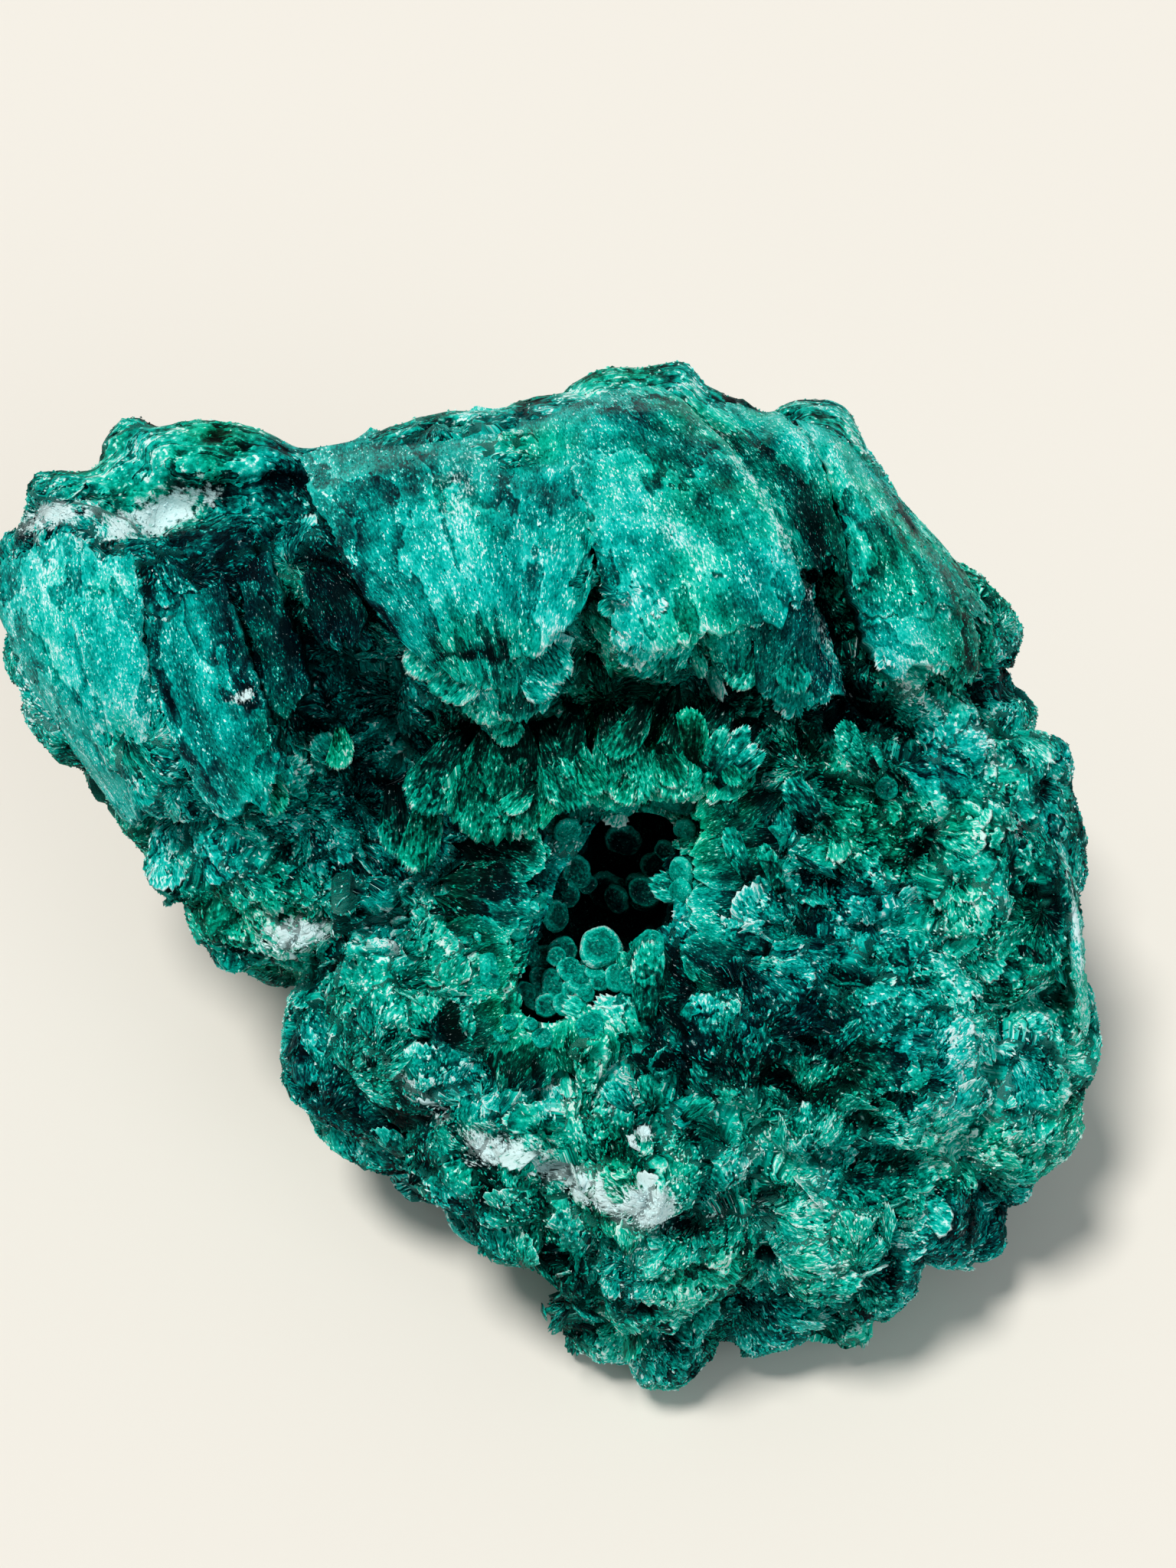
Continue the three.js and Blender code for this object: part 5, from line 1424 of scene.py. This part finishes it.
def grainFlakes(name, shareLow, shareHigh, tries, pieces):
    ground = onSkin(shareLow, shareHigh, tries)
    p, n, along = ground["p"], ground["n"], ground["along"]
    count = len(p)
    side = np.cross(n, along)
    along = unit(along + side * rng.normal(0, grain["wander"], (count, 1)))
    tilt = mix(*grain["tilt"], rng.random(count) ** 1.5)
    tilt = (tilt * smooth(np.abs(ground["share"] - 1) / grain["rimWidth"]))[:, None]
    ways = along * np.cos(tilt) + n * np.sin(tilt)
    lengths = mix(*grain["length"], rng.random(count) ** 1.8)
    widths = mix(*grain["width"], rng.random(count) ** 1.4)
    middlesAt = p + n * rng.uniform(-1, 1.6, (count, 1)) * grain["lift"]
    print(name, count, "flakes")
    return inPieces(makeFlakes, name, pieces, middlesAt, ways, n, lengths, widths,
                    flakeTone(ground["tone"]), ground["pale"], ground["hue"])


flakeTriangles = grainFlakes("grain_face", 0.0, 1.08, grain["perFace"], 3)
flakeTriangles += grainFlakes("grain_flank", 1.08, 1.97, grain["perFlank"], 1)


# Places on a fan's upper side with what lies on it
def onFan(data, start, count):
    upper = data["upper"]
    n = gridNormals(upper, False)
    n = n * np.sign(n[..., 2:].mean())
    row = int(len(upper) * start)
    p, normal, i, j = scatter(upper[row:], n[row:], count, False)
    i = i + row
    step = unit(np.gradient(upper, axis=0))[i, j]
    return dict(p=p, n=normal, along=step, tone=data["tone"][i, j], pale=data["pale"][i, j],
                hue=data["hue"][i, j])


def fanArea(data, start):
    low = data["upper"][int(len(data["upper"]) * start):]
    return np.linalg.norm(np.cross(np.gradient(low, axis=0), np.gradient(low, axis=1)),
                          axis=-1).sum()


# Fronds that end a fan: they follow its fibres, spread out and show past its tip, some
# over the sheet and some under it
tipCoat = dict(spread=(0.14, 0.42), tilt=(-0.1, 0.2), turnAside=0.3, shallow=0.25,
               rootShare=0.45, tone=0.05, toneSpread=0.08, fewest=5)


# Gathers what a maker needs from each of several fans, and makes one mesh of it all
def fromFans(make, name, names, partOf):
    parts = [partOf(fanPieces[key]) for key in names]
    return make(name, *[np.concatenate(column) for column in zip(*parts)])


def tipFronds(names, name, lengthRange, perArea, start, depth):
    def partOf(data):
        count = max(int(fanArea(data, start) * perArea), tipCoat["fewest"])
        ground = onFan(data, start, count)
        side = np.cross(ground["n"], ground["along"])
        tilt = rng.uniform(*tipCoat["tilt"], count)[:, None]
        aside = rng.normal(0, tipCoat["turnAside"], count)[:, None]
        axes = ground["along"] * np.cos(tilt) + ground["n"] * np.sin(tilt) + side * aside
        lengths = mix(*lengthRange, rng.random(count) ** 1.3)
        below = rng.uniform(tipCoat["shallow"], depth, (count, 1))
        back = unit(axes) * lengths[:, None] * tipCoat["rootShare"]
        spreads = mix(*tipCoat["spread"], rng.random(count))
        tone = ground["tone"] + rng.normal(tipCoat["tone"], tipCoat["toneSpread"], count)
        return (ground["p"] - back - ground["n"] * below, axes, ground["n"], lengths, spreads,
                tone, ground["pale"], ground["hue"])

    return fromFans(makeFronds, name, names, partOf)


# Flakes that lie along a fan's fibres, half sunk in its silk, and fringe its tip
nap = dict(perFan=3, perPetal=0.6, tilt=0.04, wander=0.3, length=(0.18, 0.5), width=(0.1, 0.22),
           rise=(-0.07, 0.02), tone=-0.06)


def napFlakes(names, name, perArea):
    def partOf(data):
        count = int(fanArea(data, 0) * perArea)
        ground = onFan(data, 0, count)
        side = np.cross(ground["n"], ground["along"])
        ways = ground["along"] + ground["n"] * rng.normal(0, nap["tilt"], count)[:, None]
        ways = ways + side * rng.normal(0, nap["wander"], count)[:, None]
        lengths = mix(*nap["length"], rng.random(count) ** 1.6)
        widths = mix(*nap["width"], rng.random(count) ** 1.5)
        middlesAt = ground["p"] + ground["n"] * rng.uniform(*nap["rise"], (count, 1))
        return (middlesAt, ways, ground["n"], lengths, widths,
                flakeTone(ground["tone"] + nap["tone"]), ground["pale"], ground["hue"])

    return fromFans(makeFlakes, name, names, partOf)


fanNames = [name for name in fanPieces if name.startswith("silk")]
petalNames = [name for name in fanPieces if name.startswith("petal")]
roughNames = ["silk_" + name for name in ("rightBrow", "rightSlope", "rightLap", "rightRib")]
frondTriangles += tipFronds(fanNames, "tips_fans", (1.4, 3.8), 0.6, 0.78, 1.1)
frondTriangles += tipFronds(petalNames, "tips_petals", (1, 2.6), 0.8, 0.7, 0.5)
frondTriangles += tipFronds(roughNames, "fronds_slope", (1.2, 3.6), 0.55, 0.08, 0.4)

# The large single fronds climb from their root's height over the brow to their tip's
tuftX, tuftY, rootRise, tipRise, tuftTurn, tuftLength, tuftSpread, tuftTone, tuftHue = np.array(tufts).T
tuftRoots = np.stack([tuftX, tuftY, browHeight(tuftX, tuftY) + rootRise], 1)
tuftEnds = tuftRoots[:, :2] + inFace(np.radians(tuftTurn))[:, :2] * tuftLength[:, None]
tuftClimb = browHeight(tuftEnds[:, 0], tuftEnds[:, 1]) + tipRise - tuftRoots[:, 2]
tuftAxes = np.concatenate([tuftEnds - tuftRoots[:, :2], tuftClimb[:, None]], 1)
tuftNormals = np.tile([0.0, 0.15, 1.0], (len(tufts), 1))
frondTriangles += makeFronds("tufts", tuftRoots, tuftAxes, tuftNormals, tuftLength, tuftSpread,
                             tuftTone, facePale(tuftRoots), tuftHue, columns=31, curl=0.05,
                             cut=0.55, fall=0.5)
flakeTriangles += napFlakes(fanNames, "nap_fans", nap["perFan"])
flakeTriangles += napFlakes(petalNames, "nap_petals", nap["perPetal"])
print("fronds", frondTriangles, "and flakes", flakeTriangles, "triangles")


# The crust in the vug: a thin lining, lumpy on its inner side, and rounded plates. The lining's dark tone
# is painted shade.
crust = dict(around=160, wall=30, shares=(0.2, 0.985), innerGap=1.6, lump=0.9, fineLump=0.15,
             tone=0.16, hue=0.4)


# Rings of the vug's wall, a gap inside it
def liningRings(gap):
    _, ringLip = spokesAt(np.arange(crust["around"]) / crust["around"], gap)
    shares = mix(*crust["shares"], np.linspace(0, 1, crust["wall"]))
    return np.stack([vugWall(ringLip, b, gap) for b in shares])


innerLining = liningRings(crust["innerGap"])
bumps = (np.abs(noise(innerLining * 0.8)) * crust["lump"]
         + noise(innerLining * 2.2) * crust["fineLump"])
inward = unit(mouthMiddle[None, None] - innerLining[..., :2])
innerLining[..., :2] += inward * bumps[..., None]
liningGrid = np.concatenate([liningRings(crustGap), innerLining[::-1]])
liningPoints = liningGrid.reshape(-1, 3)
liningFaces = outward(liningPoints, ringFaces(len(liningGrid), crust["around"], True))
# a dark tone, painted shade inside the vug
liningTone = np.full(len(liningPoints), crust["tone"])
lining = makePiece("vug_lining", liningPoints, liningFaces,
                   dict(tone=liningTone, pale=liningTone * 0, hue=liningTone * 0 + crust["hue"]))
place(lining, plateSilk, "vug_plates", "vug_crust")

# A rounded plate: its profile turned about its stalk, with steps where its rim paused as it grew. Fibres
# run out from its middle. rimAmount is the strength of its paler rim, which has a painted highlight on
# the side towards the key light; the stalk under it is painted in shade.
plate = dict(around=44, rings=28, profile=[(0.0, 0.0), (0.3, -0.01), (0.62, -0.05), (0.86, -0.14),
                                           (0.97, -0.26), (1.0, -0.4), (0.95, -0.56), (0.8, -0.72),
                                           (0.6, -1.1), (0.5, -1.6)],
             step=0.06, perRadius=3.6, lobe=0.16, tooth=0.05, litRing=-6, stalkFrom=-0.62,
             rimAt=[0, 0.5, 0.68, 0.8, 1], rimTones=[-0.04, -0.08, 0, 0.3, 0.42], stepTone=0.16,
             stalkShade=-0.2, hue=0.35)


def makePlate(name, top, facing, radius, tone, slotName, rimAmount):
    along = unit(np.array(facing, float))
    side = unit(np.cross(along, [0.3, 1, 0.1]))
    up = np.cross(side, along)
    turns = np.linspace(0, 2 * np.pi, plate["around"], endpoint=False)
    stations = np.linspace(0, 1, plate["rings"])[1:]
    knots = np.linspace(0, 1, len(plate["profile"]))
    spread = np.interp(stations, knots, [q[0] for q in plate["profile"]])
    back = np.interp(stations, knots, [q[1] for q in plate["profile"]])
    front = np.arange(len(stations)) < len(stations) * 0.5
    growth = spread * plate["perRadius"] % 1
    back = back - front * plate["step"] * growth * spread
    at = inFace(turns)
    wobble = 1 + plate["lobe"] * noise(at * 1.3 + top) + plate["tooth"] * noise(at * 6 + top)
    ring = (spread[:, None, None] * radius * wobble[None, :, None]
            * (np.cos(turns)[None, :, None] * side + np.sin(turns)[None, :, None] * up))
    grid = top + ring + (back[:, None, None] * radius) * along
    rings, count = grid.shape[:2]
    points = np.concatenate([grid.reshape(-1, 3), top[None], grid[-1].mean(0)[None]])
    faces = outward(points, ringFaces(rings, count))
    rimTone = np.interp(spread, plate["rimAt"], plate["rimTones"])
    rimTone = rimTone - front * plate["stepTone"] * growth
    # the stalk under the plate is painted in shade
    rimTone = np.where(back < plate["stalkFrom"], plate["stalkShade"], rimTone * rimAmount)
    # a painted highlight on the rim's side towards the key light
    litRing = plate["litRing"]
    toLight = (ring[litRing] * [-0.5, 0.8, 0]).sum(-1) / (radius * spread[litRing])
    rimShare = np.where(rimTone[:, None] > 0, 0.65 + 0.5 * toLight[None], 1)
    tones = np.concatenate([(tone + rimTone[:, None] * rimShare).ravel(),
                            [tone, tone + plate["stalkShade"]]])
    fibreAt = np.stack([np.tile(turns * radius, rings), np.repeat(spread * radius, count),
                        np.zeros(rings * count)], 1)
    fibreAt = np.concatenate([fibreAt, [[0, 0, 0], [0, 0, 0]]]) + [top[0] * 7, 0, 0]
    values = dict(tone=tones, pale=tones * 0, hue=tones * 0 + plate["hue"], fibre=fibreAt)
    place(makePiece(name, points, faces, values), plateSilk, slotName, None)


# Plates are painted darker the deeper they sit in the vug, as painted shade, and each faces the vug's
# middle in part
depthShades = ([-5, 2, 6.6, 7.5], [0.18, 0.36, 0.52, 0.6])
for k, (x, y, z, radius) in enumerate([*plates, *smallPlates]):
    out = unit(np.array([x, y]) - mouthMiddle)
    turned = 0.5 + 0.35 * np.sin(k * 2.4)
    makePlate(f"plate_{k + 1}", np.array([x, y, z]), [-out[0] * turned, -out[1] * turned, 1],
              radius, np.interp(z, *depthShades), "vug_plates", 1 if radius > 1.6 else 0.7)
for k, (x, y, lift, radius, turned, tone) in enumerate(lobes):
    out = unit(np.array([x, y]) - mouthMiddle)
    top = np.array([x, y, float(faceHeight(np.array(x), np.array(y))) + lift + 0.2])
    makePlate(f"lobe_{k + 1}", top, [-out[0] * turned, -out[1] * turned, 1], radius, tone - 0.04,
              "malachite", 0.35)
print("crust done")

# Floor, camera and light
floorHalf = 3.0
floorMesh = bpy.data.meshes.new("floor")
floorMesh.from_pydata([(-floorHalf, -floorHalf, 0), (floorHalf, -floorHalf, 0),
                       (floorHalf, floorHalf, 0), (-floorHalf, floorHalf, 0)], [], [(0, 1, 2, 3)])
floor = bpy.data.objects.new("floor", floorMesh)
bpy.context.scene.collection.objects.link(floor)
paper = bpy.data.materials.new("cream_paper")
paper.use_nodes = True
paperShader = paper.node_tree.nodes["Principled BSDF"]
paperShader.inputs["Base Color"].default_value = linear("#e3e0d9")
paperShader.inputs["Roughness"].default_value = 0.9
floorMesh.materials.append(paper)

# The camera looks square onto the face from its own place over it
lensMm = 60
sensorMm = 36
cameraAt = np.array([-2.35, 12.06, 251.0])
cameraData = bpy.data.cameras.new("camera")
cameraData.lens = lensMm
cameraData.sensor_width = sensorMm
cameraData.clip_end = 10
camera = bpy.data.objects.new("camera", cameraData)
turn = Matrix.Rotation(np.pi / 2 - faceElevation, 4, "X")
camera.matrix_world = Matrix.Translation([float(v) for v in toRow(cameraAt)]) @ turn
bpy.context.scene.collection.objects.link(camera)
bpy.context.scene.camera = camera


# A sun, aimed by the direction that its light comes from in the face frame
def addSun(name, fromWay, strength, colour, spread):
    data = bpy.data.lights.new(name, "SUN")
    data.energy = strength
    data.color = linear(colour)[:3]
    data.angle = np.radians(spread)
    lamp = bpy.data.objects.new(name, data)
    way = unit(np.array(fromWay, float))
    inRow = np.array([way[0], way[1] * sinE - way[2] * cosE, way[1] * cosE + way[2] * sinE])
    z = unit(inRow)
    x = unit(np.cross([0, 1, 0], z))
    y = np.cross(z, x)
    lamp.matrix_world = Matrix([[*map(float, row), 0] for row in np.stack([x, y, z], 1)]
                               + [[0, 0, 0, 1]])
    bpy.context.scene.collection.objects.link(lamp)


addSun("key", (-0.3, 0.6, 0.85), 2.75, "#fffaf4", 14)
addSun("fill", (0.5, -0.1, 0.9), 0.6, "#eef8ff", 40)

world = bpy.data.worlds.new("soft_sky")
world.use_nodes = True
sky = world.node_tree.nodes["Background"]
sky.inputs["Color"].default_value = linear("#f4f6f6")
sky.inputs["Strength"].default_value = 0.28
bpy.context.scene.world = world
bpy.context.scene.view_settings.view_transform = "Standard"

bpy.context.view_layer.update()
